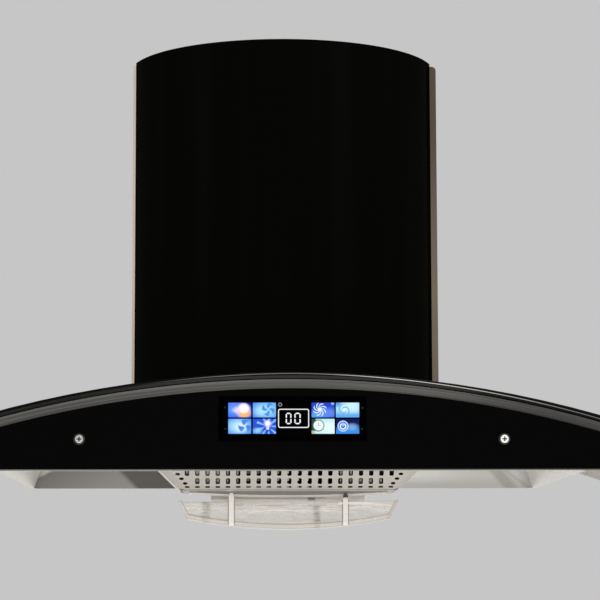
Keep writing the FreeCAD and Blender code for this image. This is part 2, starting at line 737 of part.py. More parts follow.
def make_plenum():
    body = new_body("plenum")
    half = S.plenum_width / 2
    wall = S.sheet_thick
    sketch = plan_sketch(body, S.pan_height)
    box_outline(sketch, -half, half, -PLENUM_FRONT, -S.back_thick)
    pad(body, sketch, S.plenum_height)
    inside = plan_sketch(body, S.pan_height - wall)
    box_outline(inside, -half + wall, half - wall, -PLENUM_FRONT + wall, -S.back_thick - wall)
    pocket(body, inside, S.plenum_height)
    riser = plan_sketch(body, PLENUM_TOP - 2 * wall)
    box_outline(riser, -S.riser_width / 2, S.riser_width / 2, -S.riser_front, -S.riser_rear)
    pocket(body, riser, 3 * wall)


# ---------------------------------------------------------------- chimney

def bow_reach(radius, depth):
    return leg(radius, depth - BOW_CENTRE)


def make_chimney_glass():
    body = new_body("chimney_glass")
    outer, inner = S.bow_radius, S.bow_radius - S.bow_thick
    edge = S.chimney_side + S.seat
    wide, narrow = bow_reach(outer, edge), bow_reach(inner, edge)
    bottom = PLENUM_TOP + S.seat
    sketch = plan_sketch(body, bottom)
    shift = S.bow_shift
    outline(sketch, [(shift - wide, -edge), (shift + wide, -edge),
                     (shift + narrow, -edge), (shift - narrow, -edge)],
            {0: outer, 2: -inner})
    pad(body, sketch, S.bow_top - bottom)


def sleeve_plan(sketch, wall):
    """The sleeve's plan: flat sides, a shoulder each side and a bow under the glass."""
    radius = S.bow_radius - S.bow_thick - S.silicone_bed - wall
    side = S.chimney_width / 2 - wall
    shoulder = S.chimney_side - wall
    reach = bow_reach(radius, shoulder)
    rear = S.back_thick
    return outline(sketch, [(-side, -rear), (-side, -shoulder), (S.bow_shift - reach, -shoulder),
                            (S.bow_shift + reach, -shoulder), (side, -shoulder), (side, -rear)],
                   {2: radius})


def make_chimney_sleeve():
    body = new_body("chimney_sleeve")
    height = S.chimney_top - PLENUM_TOP
    pad(body, sleeve_plan(plan_sketch(body, PLENUM_TOP), sized(0)), height)
    inside = sleeve_plan(plan_sketch(body, PLENUM_TOP - S.seat), S.sheet_thick)
    pocket(body, inside, height + 2 * S.seat)
    nick = front_sketch(body, S.chimney_side - 2 * S.sheet_thick)
    corner = S.corner_round
    side, top = S.chimney_width / 2, up(S.chimney_top)
    for hand in (-1, 1):
        outline(nick, [(hand * side, top - corner), (hand * side, top), (hand * (side - corner), top)],
                {2: hand * -corner})
    pocket(body, nick, 3 * S.sheet_thick)


def wall_spots():
    return [(across * S.hole_span / 2, along * S.hole_rise / 2)
            for across in (-1, 1) for along in (-1, 1)]


def make_back_panel():
    body = new_body("back_panel")
    half = S.chimney_width / 2
    sketch = front_sketch(body, 0)
    box_outline(sketch, -half, half, up(S.pan_height), up(S.chimney_top))
    for x, height in wall_spots():
        circle(sketch, x, height, S.hole_bore / 2)
    pad(body, sketch, S.back_thick)


def make_cap_plate():
    body = new_body("cap_plate")
    sketch = sleeve_plan(plan_sketch(body, S.shelf_height), S.sheet_thick + S.seat)
    circle(sketch, sized(0), -S.collar_depth, S.collar_bore / 2)
    circle(sketch, -S.gland_left, -S.gland_depth, S.gland_size / 2 + S.seat)
    for x, y in collar_spots():
        circle(sketch, x, y, S.small_screw_shank / 2 + S.seat)
    pad(body, sketch, S.shelf_thick)


def collar_spots():
    """Screws on the diagonals of the collar's foot."""
    reach = (S.collar_bore / 2 + S.collar_wall + S.collar_rim / 2) / math.sqrt(2)
    return [(across * reach, -S.collar_depth + along * reach)
            for across in (-1, 1) for along in (-1, 1)]


def make_duct_collar():
    body = new_body("duct_collar")
    foot = S.shelf_height + S.shelf_thick
    bore, outside = S.collar_bore / 2, S.collar_bore / 2 + S.collar_wall
    sketch = front_sketch(body, S.collar_depth, 0, up(foot))
    rim = outside + S.collar_rim
    outline(sketch, [(bore, 0), (rim, 0), (rim, S.collar_wall), (outside, S.collar_wall),
                     (outside, S.collar_rise), (bore, S.collar_rise)])
    revolve(body, sketch, "V_Axis")
    holes = plan_sketch(body, foot - S.seat)
    for x, y in collar_spots():
        circle(holes, x, y, S.small_screw_shank / 2 + S.seat)
    pocket(body, holes, 3 * S.collar_wall)


def make_damper(name, side):
    """A half-round flap with a barrel along its straight edge."""
    body = new_body(name)
    radius = S.collar_bore / 2 - 2 * S.seat
    hinge = side * S.flap_spacing / 2
    reach = leg(radius, hinge)
    plan = plan_sketch(body, FLAP_HEIGHT - S.flap_thick / 2)
    outline(plan, [(hinge, -S.collar_depth - side * reach),
                   (hinge, -S.collar_depth + side * reach)], {0: radius})
    pad(body, plan, S.flap_thick)
    length = 2 * (reach - 4 * S.seat)
    barrel = front_sketch(body, S.collar_depth - length / 2)
    circle(barrel, hinge, up(FLAP_HEIGHT), S.pin_size)
    pad(body, barrel, length)
    bore = front_sketch(body, S.collar_depth - reach - S.seat)
    circle(bore, hinge, up(FLAP_HEIGHT), S.pin_size / 2 + S.shaft_play)
    pocket(body, bore, 2 * (reach + S.seat))


def make_damper_pins():
    hinge = S.flap_spacing / 2
    reach = leg(S.collar_bore / 2, hinge + S.pin_size / 2) - S.shaft_play
    studs("damper_pins", "XZ_Plane", [(-hinge, up(FLAP_HEIGHT)), (hinge, up(FLAP_HEIGHT))],
          [(S.pin_size / 2, S.collar_depth - reach, 2 * reach)])


def make_cap_screws():
    foot = S.shelf_height + S.shelf_thick + S.collar_wall
    shank = 3 * S.shelf_thick
    studs("cap_screws", "XY_Plane", collar_spots(),
          [(S.small_screw_head / 2, up(foot), S.small_screw_head / 3),
           (S.small_screw_shank / 2, up(foot - shank), shank)])


def make_cable_gland():
    body = new_body("cable_gland")
    thread, bore = S.gland_size / 2, S.gland_bore / 2
    skirt = thread + S.gland_skirt
    sketch = front_sketch(body, S.gland_depth, -S.gland_left,
                          up(S.shelf_height + S.shelf_thick))
    below = -2 * S.shelf_thick
    collar = 5 * S.shelf_thick / 2
    outline(sketch, [(bore, below), (thread, below), (thread, 0), (skirt, 0), (skirt, collar),
                     (thread, S.gland_rise), (bore, S.gland_rise)])
    revolve(body, sketch, "V_Axis")


# ---------------------------------------------------------------- blower

def scroll_outline(sketch, wall, top):
    """Three quarter turns of growing radius, then straight up to the outlet."""
    x, height = -S.scroll_left, up(S.scroll_height)
    radius, step = S.scroll_radius - wall, S.scroll_step
    tongue = x + S.tongue_reach + wall
    far = x + 3 * step + radius
    return outline(sketch, [(tongue, up(top)), (tongue, height + radius), (x, height + radius),
                            (x - radius, height), (x + step, height - radius - step),
                            (far, height + step), (far, up(top))],
                   {2: radius, 3: radius + step, 4: radius + 2 * step})


def make_volute():
    housing = new_body("volute_housing")
    pad(housing, scroll_outline(front_sketch(housing, S.scroll_back), sized(0), OUTLET_TOP),
        S.scroll_width)
    inside = front_sketch(housing, S.scroll_back + S.sheet_thick)
    pocket(housing, scroll_outline(inside, S.sheet_thick, OUTLET_TOP + S.seat), S.scroll_width)
    cover = new_body("volute_front")
    sketch = scroll_outline(front_sketch(cover, SCROLL_FRONT), sized(0), OUTLET_TOP)
    circle(sketch, WHEEL_X, up(WHEEL_HEIGHT), S.wheel_eye + S.inlet_play)
    pad(cover, sketch, S.sheet_thick)
    ring = new_body("inlet_ring")
    face = SCROLL_FRONT + S.sheet_thick
    inner = S.wheel_eye - S.inlet_inset
    wall = S.sheet_thick * 1.5
    sketch = side_sketch(ring, WHEEL_X, 0, up(WHEEL_HEIGHT))
    mouth = -face + 3 * wall + S.inlet_play
    outline(sketch, [(mouth, inner), (-face - wall, inner),
                     (-face - wall, inner + 7 * wall), (-face, inner + 7 * wall),
                     (-face, inner + wall), (mouth, inner + wall)])
    revolve(ring, sketch, "H_Axis")


def make_standoffs():
    reach = S.wheel_eye - S.bowl_play
    spots = [(WHEEL_X + across * reach, up(WHEEL_HEIGHT) + along * reach)
             for across in (-1, 1) for along in (-1, 1)]
    studs("volute_standoffs", "XZ_Plane", spots,
          [(S.wall_clear / 2, S.back_thick, S.scroll_back - S.back_thick)])


def make_motor():
    x, height = WHEEL_X, up(WHEEL_HEIGHT)
    back = S.scroll_back + S.sheet_thick
    plate = 3 * S.sheet_thick
    flange = new_body("motor_flange")
    pad(flange, circle(front_sketch(flange, back), x, height, S.motor_radius + S.motor_flange_rim), plate)
    motor = new_body("motor")
    start = back + plate
    pad(motor, circle(front_sketch(motor, start), x, height, S.motor_radius), S.motor_length)
    bearing = front_sketch(motor, start + S.motor_length / 3)
    pocket(motor, circle(bearing, x, height, S.shaft_size / 2 + S.shaft_play), S.motor_length)
    shaft = new_body("motor_shaft")
    shaft_start = start + S.motor_length / 3 + 2 * S.seat
    wheel_front = S.scroll_back + S.wheel_play + S.wheel_width
    pad(shaft, circle(front_sketch(shaft, shaft_start), x, height, S.shaft_size / 2),
        wheel_front - shaft_start)


def make_impeller():
    """Blade ring behind a hub bowl that reaches over the motor."""
    body = new_body("impeller")
    wall = S.blade_thick
    rear = S.scroll_back + S.wheel_play
    front = rear + S.wheel_width
    motor_face = S.scroll_back + 4 * S.sheet_thick + S.motor_length
    bowl = S.motor_radius + S.bowl_play
    bore = S.shaft_size / 2 + S.shaft_play
    hub = bore + S.hub_wall
    disc = motor_face + S.disc_play
    nose = disc + S.hub_length
    sketch = side_sketch(body, WHEEL_X, 0, up(WHEEL_HEIGHT))
    outline(sketch, [(-rear, bowl), (-rear, S.wheel_radius), (-rear - wall, S.wheel_radius),
                     (-rear - wall, bowl + wall), (-disc - wall, bowl + wall),
                     (-disc - wall, hub), (-nose, hub), (-nose, bore),
                     (-disc, bore), (-disc, bowl)])
    revolve(body, sketch, "H_Axis")
    blade = front_sketch(body, rear + wall / 2, WHEEL_X, up(WHEEL_HEIGHT))
    sweep = (S.wheel_radius - S.wheel_eye) * S.blade_sweep
    tip = leg(S.wheel_radius, sweep + wall) - S.seat
    curve = S.wheel_radius - S.wheel_eye + S.bowl_play
    outline(blade, [(S.wheel_eye, 0), (tip, sweep), (tip, sweep + wall), (S.wheel_eye, wall)],
            {0: curve, 2: -curve})
    first = pad(body, blade, S.wheel_width - wall)
    doc.recompute()
    ring = body.newObject("PartDesign::PolarPattern", "blade_ring")
    ring.Originals = [first]
    ring.Axis = (blade, ["N_Axis"])
    ring.Angle = 360.0
    ring.Occurrences = int(S.blade_count.value)
    bind(ring, "Occurrences", S.blade_count)
    body.Tip = ring
    rim = front_sketch(body, front - wall, WHEEL_X, up(WHEEL_HEIGHT))
    circle(rim, 0, 0, S.wheel_radius)
    circle(rim, 0, 0, S.wheel_eye)
    pad(body, rim, wall)
    nut = new_body("impeller_nut")
    sketch = front_sketch(nut, nose, WHEEL_X, up(WHEEL_HEIGHT))
    half, apothem = S.shaft_size, S.shaft_size * math.sqrt(3) / 2
    outline(sketch, [(half / 2, -apothem), (half, 0), (half / 2, apothem), (-half / 2, apothem),
                     (-half, 0), (-half / 2, -apothem)])
    circle(sketch, 0, 0, bore)
    pad(nut, sketch, S.shaft_size / 2)


def make_outlet_box():
    body = new_body("outlet_box")
    wall = S.sheet_thick
    left, right = -S.outlet_box_left, S.outlet_box_right
    rear, front = S.scroll_back, S.outlet_box_front
    pad(body, box_outline(plan_sketch(body, OUTLET_TOP), left, right, -front, -rear),
        S.outlet_box_height)
    pocket(body, box_outline(plan_sketch(body, OUTLET_TOP + wall), left + wall, right - wall,
                             -front + wall, -rear - wall), S.outlet_box_height)
    low = S.tongue_reach - S.scroll_left + wall
    high = 3 * S.scroll_step + S.scroll_radius - S.scroll_left - wall
    pocket(body, box_outline(plan_sketch(body, OUTLET_TOP - wall), low, high,
                             -SCROLL_FRONT + wall, -rear - wall), 3 * wall)


# ---------------------------------------------------------------- slotted tray

def slot_field(body, count, rows, height, rise, corner):
    """Rows of slots through the front and the rear wall of the tray, the lowest at a height."""
    sketch = front_sketch(body, S.tray_rear - TRAY_SPREAD)
    span = S.slot_pitch * (count - 1)
    rounded_outline(sketch, -span / 2, up(height), S.slot_width, rise, corner)
    first = pocket(body, sketch, S.tray_front - S.tray_rear + 2 * TRAY_SPREAD)
    copies = body.newObject("PartDesign::MultiTransform", body.Name + "_field")
    steps = []
    for axis, length, number in (("H_Axis", span, count), ("V_Axis", S.row_pitch * (rows - 1), rows)):
        if number > 1:
            step = body.newObject("PartDesign::LinearPattern", body.Name + "_step")
            step.Direction = (sketch, [axis])
            bind(step, "Length", length)
            step.Occurrences = number
            steps.append(step)
    copies.Originals = [first]
    copies.Transformations = steps
    copies.Refine = False
    body.Tip = copies
    doc.recompute()


def border_slots(body):
    """Three small slots beside each slanted edge, through the front and the rear wall."""
    sketch = front_sketch(body, S.tray_rear - TRAY_SPREAD)
    for step in range(3):
        x = S.border_reach - S.border_step_in * step
        height = S.border_height - S.border_step_down * step
        for side in (-1, 1):
            rounded_outline(sketch, x * side, up(height), S.border_slot_width, S.border_slot_rise,
                            S.small_corner)
    pocket(body, sketch, S.tray_front - S.tray_rear + 2 * TRAY_SPREAD)


def hook_slots(body, height, rise):
    """Lets the cup's two hooks through."""
    sketch = plan_sketch(body, height)
    width, depth = S.hook_width + 2 * S.hook_play, S.cup_wall + 2 * S.hook_play
    middle = -(S.cup_front + S.seat)
    for side in (-1, 1):
        x = side * S.rib_span / 2
        box_outline(sketch, x - width / 2, x + width / 2, middle - depth / 2,
                    middle + depth / 2)
    pocket(body, sketch, rise)


def make_tray():
    body = new_body("grille")
    half = S.tray_width / 2
    solid = wedge(body, "PartDesign::AdditiveWedge", -S.tray_drop, TRAY_TOP,
                  (half, S.tray_rear, S.tray_front),
                  (half + TRAY_SPREAD, S.tray_rear - TRAY_SPREAD, S.tray_front + TRAY_SPREAD))
    corners = fillet(body, solid, slanted, S.tray_corner)
    floor = (-S.tray_drop - S.rim_drop).value
    folded = fillet(body, corners, lambda edge: abs(edge.BoundBox.ZMax - floor) < 0.01,
                    S.tray_fold)
    hollow(body, folded, S.sheet_thick, open_top=True)
    flange = plan_sketch(body, TRAY_TOP - S.sheet_thick)
    middle = -(S.tray_front + S.tray_rear) / 2
    width = 2 * (half + TRAY_SPREAD)
    depth = S.tray_front - S.tray_rear + 2 * TRAY_SPREAD
    out, inset = 2 * S.tray_flange, 4 * S.sheet_thick
    rounded_outline(flange, sized(0), middle, width + out, depth + out, S.tray_corner)
    rounded_outline(flange, sized(0), middle, width - inset, depth - inset, S.tray_corner * 1.4)
    pad(body, flange, S.sheet_thick)
    slot_field(body, 21, 1, -S.fold_row_drop, S.fold_slot_rise, S.small_corner)
    slot_field(body, 19, 1, S.main_row_height - S.row_pitch, S.slot_rise, S.slot_corner)
    slot_field(body, 21, 5, S.main_row_height, S.slot_rise, S.slot_corner)
    border_slots(body)
    hook_slots(body, -S.tray_drop - S.sheet_thick, 3 * S.sheet_thick)


def make_inner_baffle():
    """The second layer: walls behind the slots, open in the middle."""
    body = new_body("inner_baffle")
    wall = S.sheet_thick
    gap, low, high = S.baffle_gap, wall - S.tray_drop, S.tray_drop * 2
    rise = high - low
    half = S.tray_width / 2 - gap
    rear, front = S.tray_rear + gap, S.tray_front - gap
    wedge(body, "PartDesign::AdditiveWedge", low, high, (half, rear, front),
          (half + rise, rear - rise, front + rise))
    half, rear, front, rise = half - wall / 2, rear + wall / 2, front - wall / 2, rise - wall
    wedge(body, "PartDesign::SubtractiveWedge", low + wall, high, (half, rear, front),
          (half + rise, rear - rise, front + rise))
    window = front_sketch(body, S.tray_rear - TRAY_SPREAD)
    box_outline(window, -S.baffle_window / 2, S.baffle_window / 2, up(low + wall), up(high + wall))
    pocket(body, window, S.tray_front - S.tray_rear + 2 * TRAY_SPREAD)
    hook_slots(body, low - wall, 3 * wall)


def make_clips():
    body = new_body("grille_clips")
    sketch = plan_sketch(body, CEILING - S.clip_drop)
    side = S.tray_width / 2 + TRAY_SPREAD + S.tray_flange + S.seat
    for middle in (S.tray_rear, S.tray_front):
        low, high = -middle - S.clip_length / 2, -middle + S.clip_length / 2
        box_outline(sketch, side, side + S.sheet_thick, low, high)
        box_outline(sketch, -side - S.sheet_thick, -side, low, high)
    pad(body, sketch, S.clip_drop)


# ---------------------------------------------------------------- drip parts and cup

def bowed(half, sag):
    """Radius of an arc over a chord, from its half length and its rise."""
    return (half * half + sag * sag) / (2 * sag)


def make_drip_lip():
    body = new_body("drip_lip")
    half, floor = S.dish_width / 2, up(-S.tray_drop)
    ramp = side_sketch(body, -half)
    outline(ramp, [(-S.dish_front, floor), (-S.lip_depth, floor - S.dish_drop),
                   (-S.lip_depth, floor)])
    pad(body, ramp, S.dish_width)
    away = front_sketch(body, S.lip_depth - S.seat)
    low = floor - 3 * S.dish_drop
    over = half + S.dish_drop
    outline(away, [(-over, low), (over, low), (over, floor), (half, floor), (-half, floor),
                   (-over, floor)], {3: -bowed(half, S.dish_drop)})
    pocket(body, away, S.dish_front - S.lip_depth + 2 * S.seat)
    lip = front_sketch(body, S.lip_depth - S.sheet_thick)
    foot = floor - S.lip_ends
    outline(lip, [(-half, foot), (half, foot), (half, floor), (-half, floor)],
            {0: bowed(half, S.lip_drop - S.lip_ends)})
    pad(body, lip, S.sheet_thick + S.seat)
    tabs = front_sketch(body, S.lip_depth - S.sheet_thick)
    for side in (-1, 1):
        outer, inner = side * half, side * (half - 2 * S.dish_drop)
        left, right = (outer, inner) if side < 0 else (inner, outer)
        box_outline(tabs, left, right, foot - S.tab_drop, floor)
    pad(body, tabs, S.sheet_thick + S.seat)
    hook_slots(body, -S.tray_drop - 2 * S.dish_drop, 3 * S.dish_drop)


def make_drip_chute():
    body = new_body("drip_chute")
    half = S.chute_width / 2
    depth = S.lip_depth - 5 * S.dish_drop
    floor = up(-S.tray_drop)
    sketch = side_sketch(body, -half)
    wall = S.sheet_thick
    outline(sketch, [(-depth, floor - S.chute_drop), (-depth + wall, floor - S.chute_drop),
                     (-depth + wall, floor - wall), (-depth + S.chute_foot, floor - wall),
                     (-depth + S.chute_foot, floor), (-depth, floor)])
    pad(body, sketch, S.chute_width)


def make_oil_cup():
    body = new_body("oil_cup")
    wall = S.cup_wall
    half, foot = S.cup_width / 2, S.cup_floor_width / 2
    rim, corner = up(-S.cup_top), up(-S.cup_top - S.cup_side)
    bow = bowed(foot, S.cup_sag)
    rear = S.cup_front - S.cup_depth
    pad(body, outline(front_sketch(body, rear), [(-foot, corner), (foot, corner), (half, rim),
                                                 (-half, rim)], {0: bow}), S.cup_depth)
    inside = front_sketch(body, rear + wall)
    outline(inside, [(wall - foot, corner + wall), (foot - wall, corner + wall),
                     (half - wall, rim), (half - wall, rim + wall), (wall - half, rim + wall),
                     (wall - half, rim)], {0: bow})
    pocket(body, inside, S.cup_depth - 2 * wall)
    middle = S.cup_front + S.seat
    rib_top = up(-S.tray_drop - S.dish_drop - 2 * S.seat)
    ribs = front_sketch(body, S.cup_front - wall / 2)
    for side in (-1, 1):
        x = side * S.rib_span / 2
        box_outline(ribs, x - S.rib_width / 2, x + S.rib_width / 2, corner - S.cup_sag / 2,
                    rib_top)
    pad(body, ribs, wall / 2 + S.rib_proud)
    hooks = front_sketch(body, middle - wall / 2)
    for side in (-1, 1):
        x = side * S.rib_span / 2
        box_outline(hooks, x - S.hook_width / 2, x + S.hook_width / 2, rib_top - wall,
                    rib_top + S.hook_rise)
    pad(body, hooks, wall)


# ---------------------------------------------------------------- lamps

def make_lamps():
    body = new_body("lamp_housings")
    sketch = front_sketch(body, S.lamp_depth, -LAMP_SPAN / 2, up(CEILING))
    recess = S.lamp_lens_radius + S.seat
    rim = S.lamp_radius + S.lamp_rim
    ring = -S.lamp_rim / 2
    back = ring + S.lamp_lens_thick + S.seat
    outline(sketch, [(0, back), (recess, back), (recess, ring), (rim, ring), (rim, 0),
                     (S.lamp_radius, 0), (S.lamp_radius, S.lamp_height), (0, S.lamp_height)])
    first = revolve(body, sketch, "V_Axis")
    row_of(body, first, sketch, "H_Axis", LAMP_SPAN, 2)
    spots = [(side * LAMP_SPAN / 2, -S.lamp_depth) for side in (-1, 1)]
    studs("lamp_lenses", "XY_Plane", spots,
          [(S.lamp_lens_radius, up(CEILING - S.lamp_rim / 2), S.lamp_lens_thick)])


# ---------------------------------------------------------------- build, check, write

def build_all():
    make_canopy_glass()
    make_canopy_shell()
    make_front_panel()
    make_panel_screws()
    make_panel_washers()
    make_panel_brackets()
    make_display()
    make_control_parts()
    make_smoke_pan()
    make_plenum()
    make_chimney_glass()
    make_chimney_sleeve()
    make_back_panel()
    make_cap_plate()
    make_duct_collar()
    make_damper("damper_flap_left", -1)
    make_damper("damper_flap_right", 1)
    make_damper_pins()
    make_cap_screws()
    make_cable_gland()
    make_volute()
    make_standoffs()
    make_motor()
    make_impeller()
    make_outlet_box()
    make_tray()
    make_inner_baffle()
    make_clips()
    make_drip_lip()
    make_drip_chute()
    make_oil_cup()
    make_lamps()
    doc.recompute()


def check_all():
    for thing in doc.Objects:
        if "Invalid" in thing.State or "Error" in thing.State:
            raise RuntimeError(f"{thing.Name} failed: {thing.State}")
    for body in bodies():
        if body.Shape.isNull() or not body.Shape.isValid():
            raise RuntimeError(f"{body.Label} has no valid shape")


def bodies():
    return [thing for thing in doc.Objects if thing.TypeId == "PartDesign::Body"]


def write_all():
    os.makedirs("parts", exist_ok=True)
    for body in bodies():
        body.Shape.exportStep(f"parts/{body.Label}.step")


build_all()
check_all()
write_all()
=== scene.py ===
"""Curved glass range hood: finishes, lit display, light and camera."""

import math

import bmesh
import bpy
from mathutils import Matrix, Vector


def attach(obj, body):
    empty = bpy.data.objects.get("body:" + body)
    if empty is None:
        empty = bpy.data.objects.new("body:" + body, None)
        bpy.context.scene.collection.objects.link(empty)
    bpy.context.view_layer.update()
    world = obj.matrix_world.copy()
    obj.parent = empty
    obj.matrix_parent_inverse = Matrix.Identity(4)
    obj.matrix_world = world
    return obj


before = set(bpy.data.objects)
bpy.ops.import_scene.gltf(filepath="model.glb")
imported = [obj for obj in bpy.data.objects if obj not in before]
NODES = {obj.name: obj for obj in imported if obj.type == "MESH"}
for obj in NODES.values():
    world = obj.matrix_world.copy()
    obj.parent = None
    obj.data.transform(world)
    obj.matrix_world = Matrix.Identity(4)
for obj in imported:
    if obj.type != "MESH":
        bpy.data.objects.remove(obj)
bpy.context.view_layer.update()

RIM = -0.270                    # height of the pan's rim
ARCH_TOP = RIM + 0.0982         # top of the canopy glass
ARCH_RADIUS = 1.135
ARCH_CENTRE = ARCH_TOP - ARCH_RADIUS
SCREW_OUT = 0.2127              # panel screws, from the middle
SCREEN_FACE = -0.4149           # just in front of the screen behind the lens

# The tray's slots, with heights over the rim
SLOT_PITCH = 0.01075            # column to column
ROW_PITCH = 0.0083
ROW_HEIGHT = 0.0041             # middle of one row
FOLD_SLOTS = -0.0104            # the low slots along the fold
SLANT_SLOTS = [(0.1173 - 0.0039 * step, 0.0025 - 0.00465 * step) for step in range(3)]

# The cup
CUP_RIM = RIM - 0.0228
CUP_CORNER = CUP_RIM - 0.0195   # lower corners
CUP_CORNER_OUT = 0.1085
CUP_SAG = 0.011
CUP_LEAN = 0.487                # how far its ends lean out for each step up
CUP_RIB_OUT = 0.061


# ---------------------------------------------------------------- shader sums

class Value:
    """A shader value that Python's own signs add, scale and divide."""

    def __init__(self, tree, socket):
        self.tree = tree
        self.socket = socket

    def sum(self, operation, *others):
        return self.tree.sum(operation, self, *others)

    def __add__(self, other):
        return self.sum("ADD", other)

    def __radd__(self, other):
        return self.tree.sum("ADD", other, self)

    def __sub__(self, other):
        return self.sum("SUBTRACT", other)

    def __rsub__(self, other):
        return self.tree.sum("SUBTRACT", other, self)

    def __mul__(self, other):
        return self.sum("MULTIPLY", other)

    def __rmul__(self, other):
        return self.tree.sum("MULTIPLY", other, self)

    def __truediv__(self, other):
        return self.sum("DIVIDE", other)

    def __rtruediv__(self, other):
        return self.tree.sum("DIVIDE", other, self)

    def __pow__(self, other):
        return self.sum("POWER", other)

    def __neg__(self):
        return self.sum("MULTIPLY", -1.0)

    def __abs__(self):
        return self.sum("ABSOLUTE")

    def least(self, other):
        return self.sum("MINIMUM", other)

    def most(self, other):
        return self.sum("MAXIMUM", other)

    def step(self, low, high):
        """0 below low, 1 above high, smooth between; the other way round when low is higher."""
        if low > high:
            return 1.0 - self.step(high, low)
        made = self.tree.node("ShaderNodeMapRange", {"interpolation_type": "SMOOTHSTEP"},
                              {"Value": self, "From Min": low, "From Max": high})
        return Value(self.tree, made.outputs["Result"])


class Tree:
    """A node tree under construction."""

    def __init__(self, tree):
        self.nodes = tree.nodes
        self.links = tree.links
        self.nodes.clear()

    def node(self, kind, settings=None, inputs=None):
        made = self.nodes.new(kind)
        for name, value in (settings or {}).items():
            setattr(made, name, value)
        for name, value in (inputs or {}).items():
            if isinstance(value, Value):
                self.links.new(value.socket, made.inputs[name])
            else:
                made.inputs[name].default_value = value
        return made

    def sum(self, operation, *terms):
        made = self.node("ShaderNodeMath", {"operation": operation}, dict(enumerate(terms)))
        return Value(self, made.outputs[0])

    def out(self, kind, output, settings=None, inputs=None):
        return Value(self, self.node(kind, settings, inputs).outputs[output])

    def mix(self, share, first, second):
        """The colour first, turning into second as share goes from 0 to 1."""
        return self.out("ShaderNodeMix", 2, {"data_type": "RGBA"}, {0: share, 6: first, 7: second})

    def place(self, kind="Object"):
        """The three coordinates of the point that is shaded."""
        where = self.out("ShaderNodeTexCoord", kind)
        split = self.node("ShaderNodeSeparateXYZ", inputs={0: where})
        return [Value(self, split.outputs[i]) for i in range(3)]

    def facing(self):
        """The three parts of the surface's normal."""
        normal = self.out("ShaderNodeNewGeometry", "Normal")
        split = self.node("ShaderNodeSeparateXYZ", inputs={0: normal})
        return [Value(self, split.outputs[i]) for i in range(3)]

    def point(self, x, y, z):
        return self.out("ShaderNodeCombineXYZ", 0, None, {0: x, 1: y, 2: z})

    def noise(self, where, scale, detail=2.0):
        return self.out("ShaderNodeTexNoise", 0, None,
                        {"Vector": where, "Scale": scale, "Detail": detail})

    def bump(self, height, distance, strength=1.0):
        return self.out("ShaderNodeBump", 0, None,
                        {"Height": height, "Distance": distance, "Strength": strength})


def rgb(red, green, blue):
    return (red, green, blue, 1.0)


def material(name):
    made = bpy.data.materials.new(name)
    made.use_nodes = True
    return made, Tree(made.node_tree)


def finish_tree(tree, shader):
    end = tree.node("ShaderNodeOutputMaterial")
    tree.links.new(shader.outputs[0], end.inputs["Surface"])


def mixed_shader(tree, share, first, second):
    """The shader first, giving way to second as share goes from 0 to 1."""
    mixed = tree.node("ShaderNodeMixShader", None, {0: share})
    tree.links.new(first.outputs[0], mixed.inputs[1])
    tree.links.new(second.outputs[0], mixed.inputs[2])
    return mixed


def solid(name, **inputs):
    """A material whose inputs are plain values."""
    made, tree = material(name)
    finish_tree(tree, principled(tree, **inputs))
    return made


def principled(tree, **inputs):
    named = {key.replace("_", " "): value for key, value in inputs.items()}
    return tree.node("ShaderNodeBsdfPrincipled", None, named)


# ---------------------------------------------------------------- finishes

def near(value, middle, half, soft):
    """1 within half of the middle, falling to 0 over soft."""
    return abs(value - middle).step(half + soft, half)


def steel(name, streak_place, tint, rough, grain=1.0, metal=1.0, gloss=0.5):
    """Brushed steel.

    streak_place gives the point whose noise makes the streaks, and tint the colour.
    """
    made, tree = material(name)
    x, y, z = tree.place()
    streaks = tree.noise(streak_place(tree, x, y, z), 1.0, 3.0)
    broad = tree.noise(tree.point(x, y, z), 9.0, 2.0)
    wear = (streaks - 0.5) * 0.5 * grain + (broad - 0.5) * 0.35 + 0.5
    base = tint(tree, x, y, z)
    worn = tree.mix(wear, rgb(0.78, 0.78, 0.78), rgb(1, 1, 1))
    colour = tree.out("ShaderNodeMix", 2, {"data_type": "RGBA", "blend_type": "MULTIPLY"},
                      {0: 1.0, 6: base, 7: worn})
    finish_tree(tree, principled(
        tree, Base_Color=colour, Metallic=metal, Roughness=rough + (streaks - 0.5) * 0.16,
        Specular_IOR_Level=gloss,
        Normal=tree.bump(streaks, 0.00002, 0.5 * grain)))
    return made


def along_x(tree, x, y, z):
    return tree.point(x * 4.0, y * 900.0, z * 900.0)


def along_z(tree, x, y, z):
    return tree.point(x * 900.0, y * 900.0, z * 4.0)


def along_arc(tree, x, y, z):
    """Streaks that follow the canopy's arch."""
    return tree.point(x * 5.0, y * 400.0, arch_distance(x, z) * 420.0)


def arch_distance(x, z):
    """How far a point lies from the arch's centre."""
    return (x * x + (z - ARCH_CENTRE) ** 2.0) ** 0.5


def below_arch(x, z):
    """How far a point lies under the top of the canopy's arch."""
    return ARCH_RADIUS - arch_distance(x, z)


def middle_height(node):
    return sum(corner[2] for corner in NODES[node].bound_box) / 8


def band_tint(tree, x, y, z):
    """The flange in view under the glass: a painted highlight along its top, darker towards both
    ends.
    """
    below = below_arch(x, z)
    lines = tree.noise(tree.point(x * 2.5, 0.0, below * 900.0), 1.0, 2.0)
    # painted highlight along the top of the flange, added to the brushed streaks
    top_highlight = below.step(0.0090, 0.0072)
    light = top_highlight * 0.65 + (lines - 0.5) * 2.0 + 0.26
    # darker towards both ends
    darker_ends = x.step(0.12, 0.26) * 0.6 + x.step(-0.10, -0.24) * 0.25
    flange = (-y).step(0.405, 0.412)
    band = tree.mix(light.most(0.0), rgb(0.092, 0.090, 0.087), rgb(0.25, 0.243, 0.235))
    band = tree.mix(darker_ends, band, rgb(0.05, 0.05, 0.05))
    return tree.mix(flange, rgb(0.46, 0.445, 0.42), band)


